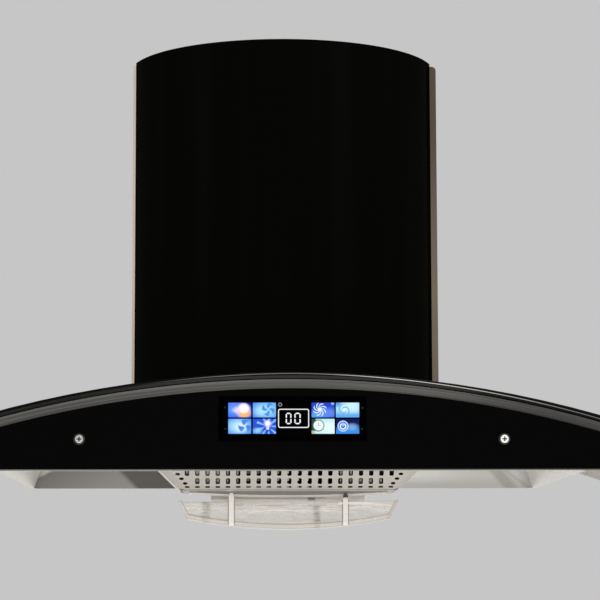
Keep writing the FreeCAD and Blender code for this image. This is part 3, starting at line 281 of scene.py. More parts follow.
def rear_left(tree, x, up):
    """The pan's rear wall on the left, in painted reflections: a slanted light streak, dark beside
    the tray.
    """
    across = x + 0.315 - up * 1.9
    streak = near(across, 0.0, 0.003, 0.008)
    beside_tray = (x + up).step(-0.176, -0.166)
    colour = tree.mix(across.step(-0.020, 0.14), rgb(0.20, 0.195, 0.185), rgb(0.36, 0.35, 0.335))
    colour = tree.mix(streak * 0.6, colour, rgb(0.80, 0.78, 0.745))
    return tree.mix(beside_tray, colour, rgb(0.125, 0.12, 0.112))


def rear_right(tree, x, up):
    """The pan's rear wall on the right, in painted reflections: light at its top, two shaded streaks
    near the corner.
    """
    broad_streak = near(x + up * 0.9, 0.266, 0.004, 0.008)
    thin_streak = near(x + up * 1.4, 0.287, 0.001, 0.004)
    shade = broad_streak + thin_streak * 0.6
    colour = tree.mix(up.step(0.002, 0.016), rgb(0.56, 0.57, 0.56), rgb(0.88, 0.885, 0.87))
    colour = tree.mix(x.step(0.13, 0.24) * 0.7, colour, rgb(0.52, 0.50, 0.475))
    return tree.mix(shade * 0.55, colour, rgb(0.30, 0.29, 0.275))


def pan_tint(tree, x, y, z):
    """Painted light on the side walls near their corners and painted shade on the top over the tray.
    The rear wall carries painted reflections of what is round it.
    """
    up = z - RIM
    rear_wall = (-y).step(0.040, 0.034) * tree.facing()[1].step(0.0, -0.3)
    # painted light: the side walls lighter near their corners
    side_wall_light = near(abs(x), 0.272, 0.012, 0.02)
    # painted shade on the pan's top over the tray
    shade_over_tray = near(x, 0.0, 0.118, 0.01) * near(y, -0.2575, 0.085, 0.010) * up.step(0.040, 0.042)
    others = tree.mix(side_wall_light, rgb(0.80, 0.775, 0.735), rgb(0.98, 0.96, 0.92))
    others = tree.mix(shade_over_tray, others, rgb(0.03, 0.03, 0.03))
    rear = tree.mix(x.step(-0.02, 0.02), rear_left(tree, x, up), rear_right(tree, x, up))
    return tree.mix(rear_wall, others, rear)


def from_line(value, pitch):
    """Where a value lies beside the nearest of the lines that stand a pitch apart."""
    return ((value / pitch + 0.5).sum("FRACT") - 0.5) * pitch


def small_slots(x, up):
    """1 on the small slots in the fold and beside the slanted edges, with their shaded rims."""
    fold = near(up, FOLD_SLOTS, 0.0007, 0.0003) * near(x, 0.0, 0.111, 0.001)
    shaded = abs(from_line(x, SLOT_PITCH)).step(0.0025, 0.0021) * fold
    for slot_out, slot_up in SLANT_SLOTS:
        across = (abs(x) - slot_out) / 0.0025
        above = (up - slot_up) / 0.0013
        shaded = shaded.most((across * across + above * above).step(1.2, 0.8))
    return shaded


def tray_tint(tree, x, y, z):
    """Bright on the outer faces, painted shade under the floor where it faces down, and dark painted
    shade inside, on the slot walls and in the small slots.
    """
    depthways, upward = tree.facing()[1:]
    up = z - RIM
    # painted shade on the walls of the slots
    slot_walls = abs(depthways).step(0.35, 0.25) * abs(x).step(0.1158, 0.1154)
    cut = slot_walls * up.step(-0.0136, -0.0130)
    # painted shade on the inner faces and in the small slots
    inside = upward.step(0.02, 0.10)
    dark = inside.most(cut).most(small_slots(x, up) * depthways.step(-0.3, -0.5))
    # painted shade on the faces that point down
    floor = upward.step(-0.90, -0.97)
    outer = tree.mix(floor, rgb(0.95, 0.905, 0.85), rgb(0.80, 0.76, 0.71))
    return tree.mix(dark, outer, rgb(0.02, 0.02, 0.02))


def drip_tint(tree, x, y, z):
    """The pressed dish faces down and is painted dark as shade. The lip in front of it is bright."""
    # painted shade on the dish, which faces down
    dish = (-y).step(0.2304, 0.2307)
    return tree.mix(dish, rgb(0.96, 0.945, 0.91), rgb(0.24, 0.23, 0.21))


def chute_tint(tree, x, y, z):
    """In the shade of the lip at its top, lighter to the right, with one dark spot."""
    up = z - RIM
    top = tree.mix(x.step(0.034, 0.048), rgb(0.63, 0.61, 0.58), rgb(0.95, 0.93, 0.895))
    colour = tree.mix(up.step(-0.0204, -0.0210), top, rgb(0.98, 0.96, 0.925))
    spot = near(x, 0.0257, 0.0030, 0.0020) * up.step(-0.0236, -0.0228)
    return tree.mix(spot * 0.85, colour, rgb(0.20, 0.19, 0.18))


def baffle_tint(tree, x, y, z):
    """Light only straight behind the slots.

    In front of the window that is each slot's outer half, and high up on the right none.
    """
    up = z - RIM
    column = from_line(x, SLOT_PITCH)
    row = from_line(up - ROW_HEIGHT, ROW_PITCH)
    behind_slot = abs(column).step(0.0017, 0.0011) * abs(row).step(0.0025, 0.0017)
    outer_half = (column * x.sum("SIGN")).step(-0.0003, 0.0003)
    beside_window = abs(x).step(0.062, 0.068)
    high_right = x.step(0.069, 0.071) * up.step(-0.001, 0.0)
    middle = near(x, -0.023, 0.020, 0.004)
    lit = behind_slot * up.step(-0.0085, -0.0078) * outer_half.most(beside_window)
    lit = lit * (1.0 - high_right) * (-y).step(0.19, 0.20) * (1.0 - middle)
    return tree.mix(lit, rgb(0.012, 0.012, 0.012), rgb(0.92, 0.90, 0.86))


def sleeve_tint(tree, x, y, z):
    """Warm on the left shoulder, brown-grey on the right one, plain steel on the sides."""
    right = tree.mix(z.step(-0.10, 0.16), rgb(0.25, 0.21, 0.155), rgb(0.125, 0.104, 0.080))
    shoulder = tree.mix(x.step(-0.05, 0.05), rgb(0.76, 0.66, 0.58), right)
    return tree.mix((-y).step(0.1030, 0.1042), rgb(0.66, 0.64, 0.61), shoulder)


def dark_glass(name, colour, share):
    """Back-painted glass. share says how much of the room it mirrors seen square on."""
    made, tree = material(name)
    grazing = tree.out("ShaderNodeLayerWeight", "Facing", None, {"Blend": 0.5}) ** 6.0
    body = principled(tree, Base_Color=colour(tree, *tree.place()), Roughness=1.0,
                      Specular_IOR_Level=0.0)
    mirror = tree.node("ShaderNodeBsdfGlossy", None, {"Color": rgb(1, 1, 1), "Roughness": 0.05})
    finish_tree(tree, mixed_shader(tree, share + grazing * 0.02, body, mirror))
    return made


def chimney_colour(tree, x, y, z):
    """Black, with faint upright streaks."""
    streak = tree.noise(tree.point(x * 26.0, 0.0, z * 0.9), 1.0, 2.0).step(0.45, 0.75)
    return tree.mix(streak, rgb(0.0012, 0.0012, 0.0009), rgb(0.0022, 0.0021, 0.0018))


def panel_colour(tree, x, y, z):
    """Black, with the ground lower edge as a thin grey line."""
    ground = (z - RIM).step(0.0012, 0.0006)
    return tree.mix(ground, rgb(0.0016, 0.0016, 0.0016), rgb(0.16, 0.16, 0.155))


def canopy_colour(tree, x, y, z):
    """Nearly black on its faces.

    The ground front edge is grey, darker towards both ends, with a painted highlight line that sinks
    sideways.
    """
    below = below_arch(x, z)
    front = (-y).step(0.4190, 0.4200)
    # painted highlight along the ground front edge, strongest right of the middle
    line = near(below - abs(x) * 0.0085, 0.0013, 0.0001, 0.0005) * front
    highlight_gain = x.step(-0.16, -0.06) * 0.25 + x.step(0.02, 0.09) * 0.73
    strength = 0.02 + highlight_gain - x.step(0.15, 0.30) * 0.72
    ends = x.step(0.14, 0.22).most(x.step(-0.10, -0.24) * 0.75)
    ground = below.step(0.0030, 0.0036) * front
    grey = tree.mix(ends, rgb(0.033, 0.0325, 0.032), rgb(0.009, 0.009, 0.009))
    colour = tree.mix(ground, rgb(0.0030, 0.0032, 0.0032), grey)
    return tree.mix(line * strength, colour, rgb(0.60, 0.60, 0.58))


def cup_lines(x, z):
    """The front wall's inner edges, the band below them, and the distance out from an end."""
    over_floor = z - (CUP_CORNER - CUP_SAG) - CUP_SAG * (x / CUP_CORNER_OUT) ** 2.0
    from_end = abs(x) - CUP_CORNER_OUT - (z - CUP_CORNER) * CUP_LEAN
    floor_line = near(over_floor, 0.0047, 0.0003, 0.0004) * from_end.step(-0.0020, -0.0035)
    end_line = near(from_end, -0.0032, 0.0003, 0.0004) * over_floor.step(0.0030, 0.0050)
    rim_line = near(z, CUP_RIM - 0.0014, 0.0003, 0.0004)
    outer_edge = from_end.step(-0.0014, -0.0006)
    under_edge = over_floor.step(0.0012, 0.0006)
    lines = floor_line + end_line + rim_line * 0.6 + outer_edge * 0.5 + under_edge * 0.5
    return lines, over_floor.step(0.0044, 0.0036), from_end


def clear_plastic():
    """Clear moulded plastic gone a little milky, most on its ribs, edges and slanted faces."""
    made, tree = material("clear_plastic")
    x, y, z = tree.place()
    down = CUP_RIM - z
    front = (-y).step(0.2430, 0.2440)
    facing = tree.out("ShaderNodeLayerWeight", "Facing", None, {"Blend": 0.35})
    cloud = tree.noise(tree.point(x * 10.0, y * 10.0, z * 160.0), 1.0, 4.0)
    streak = tree.noise(tree.point(x * 45.0, 0.0, z * 420.0), 1.0, 3.0).step(0.40, 0.62) * front
    pale = near(down, 0.0085, 0.0030, 0.0040) * streak * (1.0 - near(x, 0.0270, 0.0020, 0.0060))
    dim = near(down, 0.0190, 0.0022, 0.0030) * streak
    rib = near(abs(x), CUP_RIB_OUT, 0.0024, 0.0006) * (-y).step(0.2445, 0.2455)
    groove = near(abs(x), CUP_RIB_OUT, 0.0036, 0.0004) * front
    shadows = near(x, -0.089, 0.0010, 0.0060) + near(x, 0.0325, 0.0010, 0.0045)
    shadow = shadows * (-y).step(0.200, 0.196)
    lines, low_band, from_end = cup_lines(x, z)
    lines = lines * front * (1.0 - rib)
    low_band = low_band * front
    # painted shadow on the top of the right rib, under the lip
    rib_top_shadow = (z - RIM).step(-0.0207, -0.0201) * front * x.step(0.0, 0.01)
    gleam = near(down, 0.0034, 0.0007, 0.0009) * x.step(0.050, 0.060) * x.step(0.105, 0.075) * front
    end = x.step(0.05, 0.06) * from_end.step(-0.0042, -0.0034) * front
    marks = gleam * 0.9 + end * 0.45 + groove * 0.8 + shadow * 0.70 + lines * 0.55
    marks = marks + low_band * 0.35 + rib_top_shadow + pale * 0.45 + dim * 0.40
    milk = (0.14 + facing * 0.50 + (cloud - 0.5) * 1.2 + marks).least(0.95).most(0.05)
    tint = rgb(0.98, 0.955, 0.92)
    for share, colour in ((shadow, rgb(0.52, 0.50, 0.47)),
                          (dim * 0.8, rgb(0.60, 0.57, 0.53)),
                          (low_band, rgb(0.84, 0.77, 0.69)),
                          ((groove + lines).least(1.0), rgb(0.38, 0.34, 0.30)),
                          (end * 0.7, rgb(0.52, 0.48, 0.42)),
                          (rib.most(gleam), rgb(0.98, 0.95, 0.91)),
                          (rib_top_shadow, rgb(0.05, 0.045, 0.04))):
        tint = tree.mix(share, tint, colour)
    body = principled(tree, Base_Color=tint, Roughness=0.22,
                      Specular_IOR_Level=0.6, Normal=tree.bump(cloud, 0.0004, 0.6))
    through = tree.node("ShaderNodeBsdfTransparent", None, {"Color": rgb(0.99, 0.985, 0.98)})
    finish_tree(tree, mixed_shader(tree, milk, through, body))
    return made


def display_glass():
    """The dark window: clear enough for the lit fields behind it, glossy in front."""
    made, tree = material("display_glass")
    front = tree.node("ShaderNodeBsdfGlossy", None,
                      {"Color": rgb(0.002, 0.002, 0.0025), "Roughness": 0.08})
    through = tree.node("ShaderNodeBsdfTransparent", None, {"Color": rgb(0.96, 0.96, 0.97)})
    x, _, z = tree.place()
    rim = abs(x).step(0.0735, 0.0737) + abs(z - middle_height("display_lens")).step(0.0215, 0.0217)
    finish_tree(tree, mixed_shader(tree, (rim + 0.06).least(1.0), through, front))
    return made


def screw_head():
    """Bright screws, the left one darker, with painted shade down in the cross recess."""
    made, tree = material("screw_bright")
    x, y, z = tree.place()
    face = tree.mix(x.step(-0.05, 0.05), rgb(0.50, 0.495, 0.485), rgb(0.97, 0.96, 0.94))
    off_axis = ((abs(x) - SCREW_OUT) ** 2.0 + (z - middle_height("panel_screws")) ** 2.0) ** 0.5
    # painted shade down in the cross recess
    recess = (-y).step(0.4226, 0.4219) * off_axis.step(0.0027, 0.0025)
    finish_tree(tree, principled(tree, Base_Color=tree.mix(recess, face, rgb(0.008, 0.008, 0.008)),
                                 Metallic=0.5, Roughness=0.32))
    return made


def galvanised():
    """Zinc-coated sheet with its pale patches."""
    made, tree = material("zinc_steel")
    spangle = tree.out("ShaderNodeTexVoronoi", "Color", None,
                       {"Vector": tree.point(*tree.place()), "Scale": 150.0})
    patch = tree.out("ShaderNodeSeparateColor", 0, None, {0: spangle})
    finish_tree(tree, principled(
        tree, Base_Color=tree.mix(patch, rgb(0.48, 0.49, 0.50), rgb(0.62, 0.63, 0.64)),
        Metallic=0.85, Roughness=0.38 + patch * 0.12))
    return made


def grained(name, colour, rough):
    """Moulded plastic or paint with a fine grain."""
    made, tree = material(name)
    grain = tree.noise(tree.point(*tree.place()), 1400.0, 1.0)
    finish_tree(tree, principled(tree, Base_Color=colour, Roughness=rough + (grain - 0.5) * 0.1,
                                 Normal=tree.bump(grain, 0.00005, 0.4)))
    return made


FINISHES = {
    "steel_shell": steel("steel_shell", along_arc, band_tint, 0.34, 2.2),
    "steel_sleeve": steel("steel_sleeve", along_z, sleeve_tint, 0.36),
    "steel_pan": steel("steel_pan", along_x, pan_tint, 0.30, 0.4, 0.25),
    "steel_tray": steel("steel_tray", along_x, tray_tint, 0.36),
    "steel_drip": steel("steel_drip", along_x, drip_tint, 0.42, 0.7, 0.15),
    "steel_chute": steel("steel_chute", along_x, chute_tint, 0.42, 0.7, 0.0),
    "steel_inside": steel("steel_inside", along_x, baffle_tint, 0.40, 0.7, 0.3, 0.1),
    "black_glass": dark_glass("black_glass", chimney_colour, 0.0012),
    "panel_glass": dark_glass("panel_glass", panel_colour, 0.0012),
    "canopy_glass": dark_glass("canopy_glass", canopy_colour, 0.003),
    "clear_plastic": clear_plastic(),
    "display_glass": display_glass(),
    "zinc_steel": galvanised(),
    "screen_black": solid("screen_black", Base_Color=rgb(0.001, 0.001, 0.001), Roughness=0.7,
                          Specular_IOR_Level=0.0),
    "screw_bright": screw_head(),
    "washer_dark": solid("washer_dark", Base_Color=rgb(0.016, 0.016, 0.015), Roughness=0.25,
                         Specular_IOR_Level=0.3),
    "screw_steel": solid("screw_steel", Base_Color=rgb(0.78, 0.77, 0.75), Metallic=1.0,
                         Roughness=0.22),
    "chrome_trim": solid("chrome_trim", Base_Color=rgb(0.80, 0.80, 0.80), Metallic=1.0,
                         Roughness=0.08),
    "black_plastic": grained("black_plastic", rgb(0.012, 0.012, 0.012), 0.5),
    "white_plastic": grained("white_plastic", rgb(0.72, 0.71, 0.68), 0.45),
    "circuit_board": grained("circuit_board", rgb(0.01, 0.10, 0.035), 0.3),
    "motor_paint": grained("motor_paint", rgb(0.03, 0.03, 0.035), 0.4),
    "lamp_glass": solid("lamp_glass", Base_Color=rgb(0.85, 0.86, 0.84), Roughness=0.35),
}
WEARS = {
    "steel_shell": ["canopy_shell"],
    "steel_drip": ["drip_lip"],
    "steel_chute": ["drip_chute"],
    "steel_inside": ["inner_baffle"],
    "steel_sleeve": ["chimney_sleeve"],
    "steel_pan": ["smoke_pan"],
    "steel_tray": ["grille"],
    "black_glass": ["chimney_glass"],
    "panel_glass": ["front_panel"],
    "canopy_glass": ["canopy_glass"],
    "clear_plastic": ["oil_cup"],
    "display_glass": ["display_lens"],
    "screen_black": ["display_screen"],
    "zinc_steel": ["panel_brackets", "plenum", "back_panel", "cap_plate", "volute_housing",
                   "volute_front", "motor_flange", "impeller", "outlet_box"],
    "screw_bright": ["panel_screws"],
    "washer_dark": ["panel_washers"],
    "screw_steel": ["damper_pins", "cap_screws", "volute_standoffs", "motor_shaft", "impeller_nut",
                    "grille_clips"],
    "chrome_trim": ["lamp_housings"],
    "black_plastic": ["display_housing", "control_box", "duct_collar", "cable_gland", "inlet_ring"],
    "white_plastic": ["capacitor", "damper_flap_left", "damper_flap_right"],
    "circuit_board": ["display_board"],
    "motor_paint": ["motor"],
    "lamp_glass": ["lamp_lenses"],
}


def dress(obj, name):
    obj.data.materials.clear()
    obj.data.materials.append(FINISHES[name])


def dress_nodes():
    for name, worn_by in WEARS.items():
        for node in worn_by:
            dress(NODES[node], name)
    bare = sorted(set(NODES) - {node for worn_by in WEARS.values() for node in worn_by})
    if bare:
        raise RuntimeError(f"no finish for {bare}")


dress_nodes()


# ---------------------------------------------------------------- flat shapes

def lit_piece(name, loops, finish):
    """Flat shapes just in front of the screen, facing the room.

    Each loop is a list of (x, height over the rim) in millimetres.
    """
    mesh = bpy.data.meshes.new(name)
    drawn = bmesh.new()
    for loop in loops:
        drawn.faces.new([drawn.verts.new((x / 1000, SCREEN_FACE, RIM + height / 1000))
                         for x, height in loop])
    for face in drawn.faces:
        face.normal_update()
        if face.normal.y > 0:
            face.normal_flip()
    drawn.to_mesh(mesh)
    drawn.free()
    obj = bpy.data.objects.new(name, mesh)
    bpy.context.scene.collection.objects.link(obj)
    obj.data.materials.append(finish)
    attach(obj, "hood")


def rounded_corners(x0, x1, z0, z1, radius, steps=6):
    """The corner points of a rounded rectangle, counter-clockwise."""
    points = []
    for cx, cz, start in ((x1 - radius, z0 + radius, -90), (x1 - radius, z1 - radius, 0),
                          (x0 + radius, z1 - radius, 90), (x0 + radius, z0 + radius, 180)):
        for i in range(steps + 1):
            angle = math.radians(start + 90 * i / steps)
            points.append((cx + radius * math.cos(angle), cz + radius * math.sin(angle)))
    return points


def ring_loops(outer, inner):
    """Quads between two loops of as many points."""
    count = len(outer)
    after = [(i + 1) % count for i in range(count)]
    return [[outer[i], outer[j], inner[j], inner[i]] for i, j in enumerate(after)]


def bar(x0, z0, x1, z1, width):
    """One segment of a digit: a bar with pointed ends."""
    along = Vector((x1 - x0, z1 - z0)).normalized()
    side = Vector((-along.y, along.x)) * width / 2
    tip = along * width / 2
    start, end = Vector((x0, z0)), Vector((x1, z1))
    return [tuple(p) for p in (start, start + tip + side, end - tip + side, end,
                               end - tip - side, start + tip - side)]


def circle_points(x, z, radius, count=24):
    angles = [2 * math.pi * i / count for i in range(count)]
    return [(x + radius * math.cos(angle), z + radius * math.sin(angle)) for angle in angles]


def ring(x, z, outer, inner):
    return ring_loops(circle_points(x, z, outer), circle_points(x, z, inner))


# ---------------------------------------------------------------- display
# All in millimetres: from the middle, and over the rim.

TILE_COLUMNS = ((-64.1, -41.2), (-39.5, -16.4), (19.5, 42.5), (43.9, 67.3))
TILE_ROWS = ((53.2, 68.0), (36.7, 51.7))
TILE_CORNER = 0.35
DIGITS = ((-5.9, -1.3), (2.8, 7.9))
DIGIT_HEIGHTS = (47.0, 57.2)
SEGMENT_GAP = 0.35
SEGMENT_WIDTH = 1.3
ZERO = "abcdef"                 # the segments that make a 0
READING_FRAME = (-14.2, 17.0, 42.6, 61.8)
FRAME_LINE = 0.95
FRAME_CORNERS = (2.2, 1.3)      # outside and inside
SIGN = (-12.1, 66.0, 2.0, 1.15)  # place, then outer and inner radius
MARKS = ((-67.4, 63.2), (-66.9, 41.7), (70.6, 62.7), (70.1, 41.5))
MARK_RADII = (0.9, 0.4)
SCREEN_GLOW = 1.25


def light_up(tree, colour, strength):
    """End the tree in a shader that only shines."""
    finish_tree(tree, principled(tree, Base_Color=rgb(0, 0, 0), Roughness=1.0,
                                 Specular_IOR_Level=0.0,
                                 Emission_Color=colour, Emission_Strength=strength))


def lamp(name, colour, strength):
    made, tree = material(name)
    light_up(tree, colour, strength)
    return made


def digit_bars(x0, x1, z0, z1, lit):
    """The lit segments of a seven-segment digit, named a to g from the top clockwise."""
    gap = SEGMENT_GAP
    middle = (z0 + z1) / 2
    ends = {"a": (x0 + gap, z1, x1 - gap, z1), "b": (x1, z1 - gap, x1, middle + gap),
            "c": (x1, middle - gap, x1, z0 + gap), "d": (x0 + gap, z0, x1 - gap, z0),
            "e": (x0, middle - gap, x0, z0 + gap), "f": (x0, z1 - gap, x0, middle + gap),
            "g": (x0 + gap, middle, x1 - gap, middle)}
    return [bar(*ends[segment], SEGMENT_WIDTH) for segment in lit]


def reading():
    """The number in its rounded frame, the small sign above it and the four marks beside the keys."""
    x0, x1, z0, z1 = READING_FRAME
    line = FRAME_LINE
    outer, inner = FRAME_CORNERS
    loops = ring_loops(rounded_corners(x0, x1, z0, z1, outer),
                       rounded_corners(x0 + line, x1 - line, z0 + line, z1 - line, inner))
    for left, right in DIGITS:
        loops += digit_bars(left, right, *DIGIT_HEIGHTS, ZERO)
    lit_piece("display_reading", loops, lamp("reading_white", rgb(0.88, 0.90, 0.91), SCREEN_GLOW))
    lit_piece("display_sign", ring(*SIGN), lamp("sign_grey", rgb(0.30, 0.32, 0.34), 1.0))
    marks = [loop for x, z in MARKS for loop in ring(x, z, *MARK_RADII)]
    lit_piece("display_marks", marks, lamp("mark_grey", rgb(0.035, 0.045, 0.045), 1.0))


class Picture:
    """A lit field: colours laid over each other, in millimetres from the field's middle."""

    def __init__(self, name, x0, x1, z0, z1):
        self.surface, self.tree = material(name)
        x, _, z = self.tree.place()
        self.x = x * 1000 - (x0 + x1) / 2
        self.z = z * 1000 - (RIM * 1000 + (z0 + z1) / 2)
        self.colour = rgb(0, 0, 0)

    def lay(self, share, colour):
        self.colour = self.tree.mix(share, self.colour, rgb(*colour))

    def distance(self, x, z, wide=1.0):
        across = (self.x - x) / wide
        up = self.z - z
        return (across * across + up * up) ** 0.5

    def turn(self, x, z):
        """The angle round a point, in radians."""
        return self.tree.sum("ARCTAN2", self.z - z, self.x - x)

    def glow(self, x, z, core, reach, colour, wide=1.0, most=1.0):
        self.lay(self.distance(x, z, wide).step(reach, core) * most, colour)

    def petals(self, x, z, count, inner, outer, colour, twist=0.0, width=0.0, phase=0.0, most=1.0):
        """Blades round a point. twist bends them with the distance, width makes them broader."""
        far = self.distance(x, z)
        wave = ((self.turn(x, z) + far * twist + phase) * count).sum("SINE")
        blade = wave.step(-0.25 - width, 0.35 - width)
        between = far.step(inner - 0.5, inner + 0.2) * far.step(outer + 0.5, outer - 0.3)
        self.lay(blade * between * most, colour)

    def ring(self, x, z, radius, line, colour):
        off = abs(self.distance(x, z) - radius)
        self.lay(off.step(line + 0.25, line), colour)

    def box(self, x0, x1, z0, z1, colour, soft=0.3, most=1.0):
        inside = (self.x.step(x0 - soft, x0 + soft) * self.x.step(x1 + soft, x1 - soft)
                  * self.z.step(z0 - soft, z0 + soft) * self.z.step(z1 + soft, z1 - soft))
        self.lay(inside * most, colour)

    def done(self):
        light_up(self.tree, self.colour, SCREEN_GLOW)
        return self.surface


PALE = (0.55, 0.86, 1.0)
WHITE = (0.95, 0.97, 1.0)


def flame(p):
    p.lay(1.0, (0.04, 0.12, 0.85))
    p.glow(-6, 1, 1, 11, (0.13, 0.34, 1.0), 1.3)
    p.glow(10, 7, 0.5, 6, (0.02, 0.01, 0.25), 1.4)
    p.glow(3.2, -0.5, 3.5, 9.0, (0.75, 0.62, 0.95), 1.1)
    p.glow(5.0, -3.0, 2.0, 6.5, (1.0, 0.52, 0.12), 1.3)
    p.glow(4.2, 1.6, 3.4, 6.2, (1.0, 0.97, 0.95), 1.05)
    p.glow(-3.0, 0.0, 0.8, 4.0, (0.90, 0.80, 1.0), 1.6, 0.7)


def gentle_fan(p):
    p.lay(1.0, (0.06, 0.24, 0.90))
    p.glow(2, 0, 2, 13, (0.30, 0.70, 1.0), 1.5)
    p.glow(-3, -1, 1, 7, PALE, 1.4, 0.6)
    p.petals(4.0, 0.6, 4, 1.4, 6.4, (0.09, 0.30, 0.80), 0.12, 0.15)


def broad_fan(p):
    p.lay(1.0, (0.05, 0.22, 0.90))
    p.glow(-1, 0, 2, 12, (0.42, 0.80, 1.0), 1.5)
    p.glow(1, -1, 1, 7, WHITE, 1.3, 0.55)
    p.petals(5.0, 0.4, 3, 1.5, 6.4, (0.08, 0.25, 0.78), 0.08, 0.2, 0.6)


def bulb(p):
    p.lay(1.0, (0.03, 0.09, 0.70))
    p.petals(3.4, 0.0, 9, 4.4, 11.5, (0.26, 0.62, 1.0), 0.0, -0.45, 0.2, 0.85)
    p.glow(3.4, 2.6, 1.4, 5.6, (0.62, 0.62, 1.0))
    p.glow(3.4, 3.0, 1.4, 3.4, WHITE)
    p.box(2.1, 4.7, -3.6, 0.8, (0.70, 0.82, 1.0))
    p.box(2.6, 4.2, -5.4, -3.4, (0.03, 0.06, 0.12))
    p.glow(-7, -4.5, 0.5, 4.5, (0.35, 0.75, 1.0), 1.6, 0.8)


def turbine(p):
    p.lay(1.0, (0.02, 0.06, 0.62))
    p.glow(-6, -6, 1, 9, (0.10, 0.36, 1.0), 1.8)
    p.glow(6, -3, 1, 8, (0.12, 0.26, 0.90), 1.6)
    p.petals(-3.2, 0.4, 8, 1.2, 6.6, (0.62, 0.80, 1.0), 0.22, -0.05)
    p.glow(-3.2, 0.4, 1.0, 3.0, WHITE)
    p.glow(9.6, 6.6, 0.6, 2.4, (0.30, 0.55, 1.0))


def whirl(p):
    p.lay(1.0, (0.22, 0.62, 0.95))
    p.glow(2, 4, 2, 12, (0.62, 0.92, 1.0), 1.8)
    p.glow(-10, 7, 1, 6, (0.10, 0.34, 0.80))
    p.box(-12, 12, -8, -3.6, (0.08, 0.36, 0.85), 2.2, 0.8)
    p.petals(-3.4, 0.0, 2, 1.6, 6.4, (0.14, 0.46, 0.80), 0.85, -0.2, 0.0, 0.8)
    p.glow(-3.4, 0.0, 0.9, 2.4, WHITE)


def clock(p):
    p.lay(1.0, (0.50, 0.86, 0.93))
    p.glow(8, -2, 2, 11, (0.82, 1.0, 0.98), 1.6)
    p.box(-13, -7.2, -4.6, 8, (0.03, 0.07, 0.05), 0.8)
    p.glow(-10.5, -6.4, 0.6, 2.2, (0.55, 0.50, 0.20), 1.6)
    p.glow(-4.6, 0.8, 5.4, 6.4, (0.10, 0.16, 0.14))
    p.glow(-4.6, 0.8, 4.6, 5.4, (0.90, 1.0, 0.92))
    p.box(-4.85, -4.35, 0.6, 4.2, (0.20, 0.26, 0.26), 0.2)
    p.box(-4.6, -2.4, 0.5, 1.0, (0.20, 0.26, 0.26), 0.2)


def mains(p):
    p.lay(1.0, (0.006, 0.012, 0.10))
    p.box(-13, 13, -9, -2.0, (0.05, 0.30, 0.85), 2.6, 0.95)
    p.glow(4.5, -0.6, 1.0, 5.0, (0.30, 0.62, 1.0), 1.8, 0.6)
    p.glow(-4.6, 0.2, 4.6, 5.6, (0.06, 0.22, 0.80))
    p.ring(-4.6, 0.2, 5.0, 0.40, (0.55, 0.78, 1.0))
    p.ring(-4.6, -0.1, 2.7, 0.45, WHITE)
    p.box(-5.7, -3.5, 1.2, 3.6, (0.06, 0.22, 0.80), 0.25)
    p.box(-5.0, -4.2, 0.2, 3.6, WHITE, 0.2)


TILES = ((flame, gentle_fan, turbine, whirl), (broad_fan, bulb, clock, mains))


def lit_fields():
    for (z0, z1), drawn in zip(TILE_ROWS, TILES):
        for (x0, x1), paint in zip(TILE_COLUMNS, drawn):
            name = f"key_{paint.__name__}"
            picture = Picture(name, x0, x1, z0, z1)
            paint(picture)
            outline = rounded_corners(x0, x1, z0, z1, TILE_CORNER, 2)
            lit_piece(name, [outline], picture.done())


reading()
lit_fields()


# ---------------------------------------------------------------- light and camera

CAMERA_PLACE = (-0.0599, -2.820, -0.3949)
CAMERA_TURN = math.radians(-1.62)
CAMERA_PITCH = math.radians(7.03)
CAMERA_ROLL = math.radians(-0.14)
CAMERA_LENS = 144.12
BACKDROP = rgb(0.565, 0.565, 0.565)
DIM_ROOM = rgb(0.17, 0.17, 0.165)
LIGHT_WALL = rgb(0.78, 0.77, 0.75)
LIGHT_BEHIND = rgb(0.88, 0.86, 0.83)
WARM_WHITE = (1.0, 0.98, 0.95)
FLOOR_HEIGHT = -1.9
FLOOR_SIZE = 6.0
SOFTBOXES = (                   # name, place, aim, width, height, watts
    ("overhead", (0.5, -0.6, 2.2), (0, -0.2, -0.2), 2.4, 1.6, 45),
    ("low_right", (0.95, -1.9, -1.25), (0.1, -0.2, -0.25), 1.1, 0.8, 4),
    ("low_front", (-0.1, -1.9, -0.85), (0.0, -0.25, -0.30), 1.2, 0.35, 9),
)


def set_camera():
    lens = bpy.data.cameras.new("camera")
    lens.sensor_width = 36.0
    lens.lens = CAMERA_LENS
    lens.clip_end = 100.0
    camera = bpy.data.objects.new("camera", lens)
    camera.matrix_world = (Matrix.Translation(CAMERA_PLACE) @ Matrix.Rotation(CAMERA_TURN, 4, "Z")
                           @ Matrix.Rotation(math.pi / 2 + CAMERA_PITCH, 4, "X")
                           @ Matrix.Rotation(CAMERA_ROLL, 4, "Z"))
    bpy.context.scene.collection.objects.link(camera)
    bpy.context.scene.camera = camera


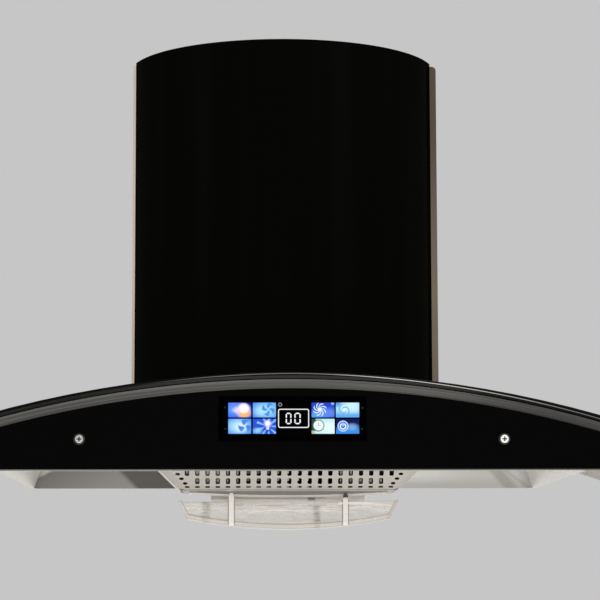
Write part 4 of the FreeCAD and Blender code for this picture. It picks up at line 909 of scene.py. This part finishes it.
def set_world():
    """A flat pale backdrop for the camera, and a room with its light behind the hood."""
    world = bpy.data.worlds.new("studio")
    world.use_nodes = True
    tree = Tree(world.node_tree)
    path = tree.node("ShaderNodeLightPath")
    to_camera, through_glass = (Value(tree, path.outputs[f"Is {ray} Ray"])
                                for ray in ("Camera", "Transmission"))
    seen = to_camera.most(through_glass)
    _, depth, height = tree.place("Generated")
    behind = depth.step(-0.25, 0.30)
    level = height.step(-0.42, -0.12) * height.step(0.95, 0.45)
    front = tree.mix(level, DIM_ROOM, LIGHT_WALL)
    room = tree.mix(behind, front, LIGHT_BEHIND)
    shine = tree.node("ShaderNodeBackground", None, {"Color": tree.mix(seen, room, BACKDROP)})
    end = tree.node("ShaderNodeOutputWorld")
    tree.links.new(shine.outputs[0], end.inputs["Surface"])
    bpy.context.scene.world = world


def softbox(name, place, aim, width, height, watts):
    light = bpy.data.lights.new(name, "AREA")
    light.shape = "RECTANGLE"
    light.size = width
    light.size_y = height
    light.energy = watts
    light.color = WARM_WHITE
    obj = bpy.data.objects.new(name, light)
    away = Vector(place) - Vector(aim)
    obj.matrix_world = Matrix.Translation(place) @ away.to_track_quat("Z", "Y").to_matrix().to_4x4()
    bpy.context.scene.collection.objects.link(obj)


def set_floor():
    """A pale floor that doesn't hide the hood from below."""
    mesh = bpy.data.meshes.new("floor")
    drawn = bmesh.new()
    bmesh.ops.create_grid(drawn, x_segments=1, y_segments=1, size=FLOOR_SIZE)
    drawn.to_mesh(mesh)
    drawn.free()
    floor = bpy.data.objects.new("floor", mesh)
    floor.location = (0, 0, FLOOR_HEIGHT)
    made, tree = material("pale_floor")
    top = principled(tree, Base_Color=rgb(0.62, 0.62, 0.61), Roughness=0.9, Specular_IOR_Level=0.1)
    underside = tree.out("ShaderNodeNewGeometry", "Backfacing")
    clear = tree.node("ShaderNodeBsdfTransparent")
    finish_tree(tree, mixed_shader(tree, underside, top, clear))
    mesh.materials.append(made)
    bpy.context.scene.collection.objects.link(floor)


set_camera()
set_world()
set_floor()
for lit_from in SOFTBOXES:
    softbox(*lit_from)

bpy.context.scene.view_settings.view_transform = "Standard"
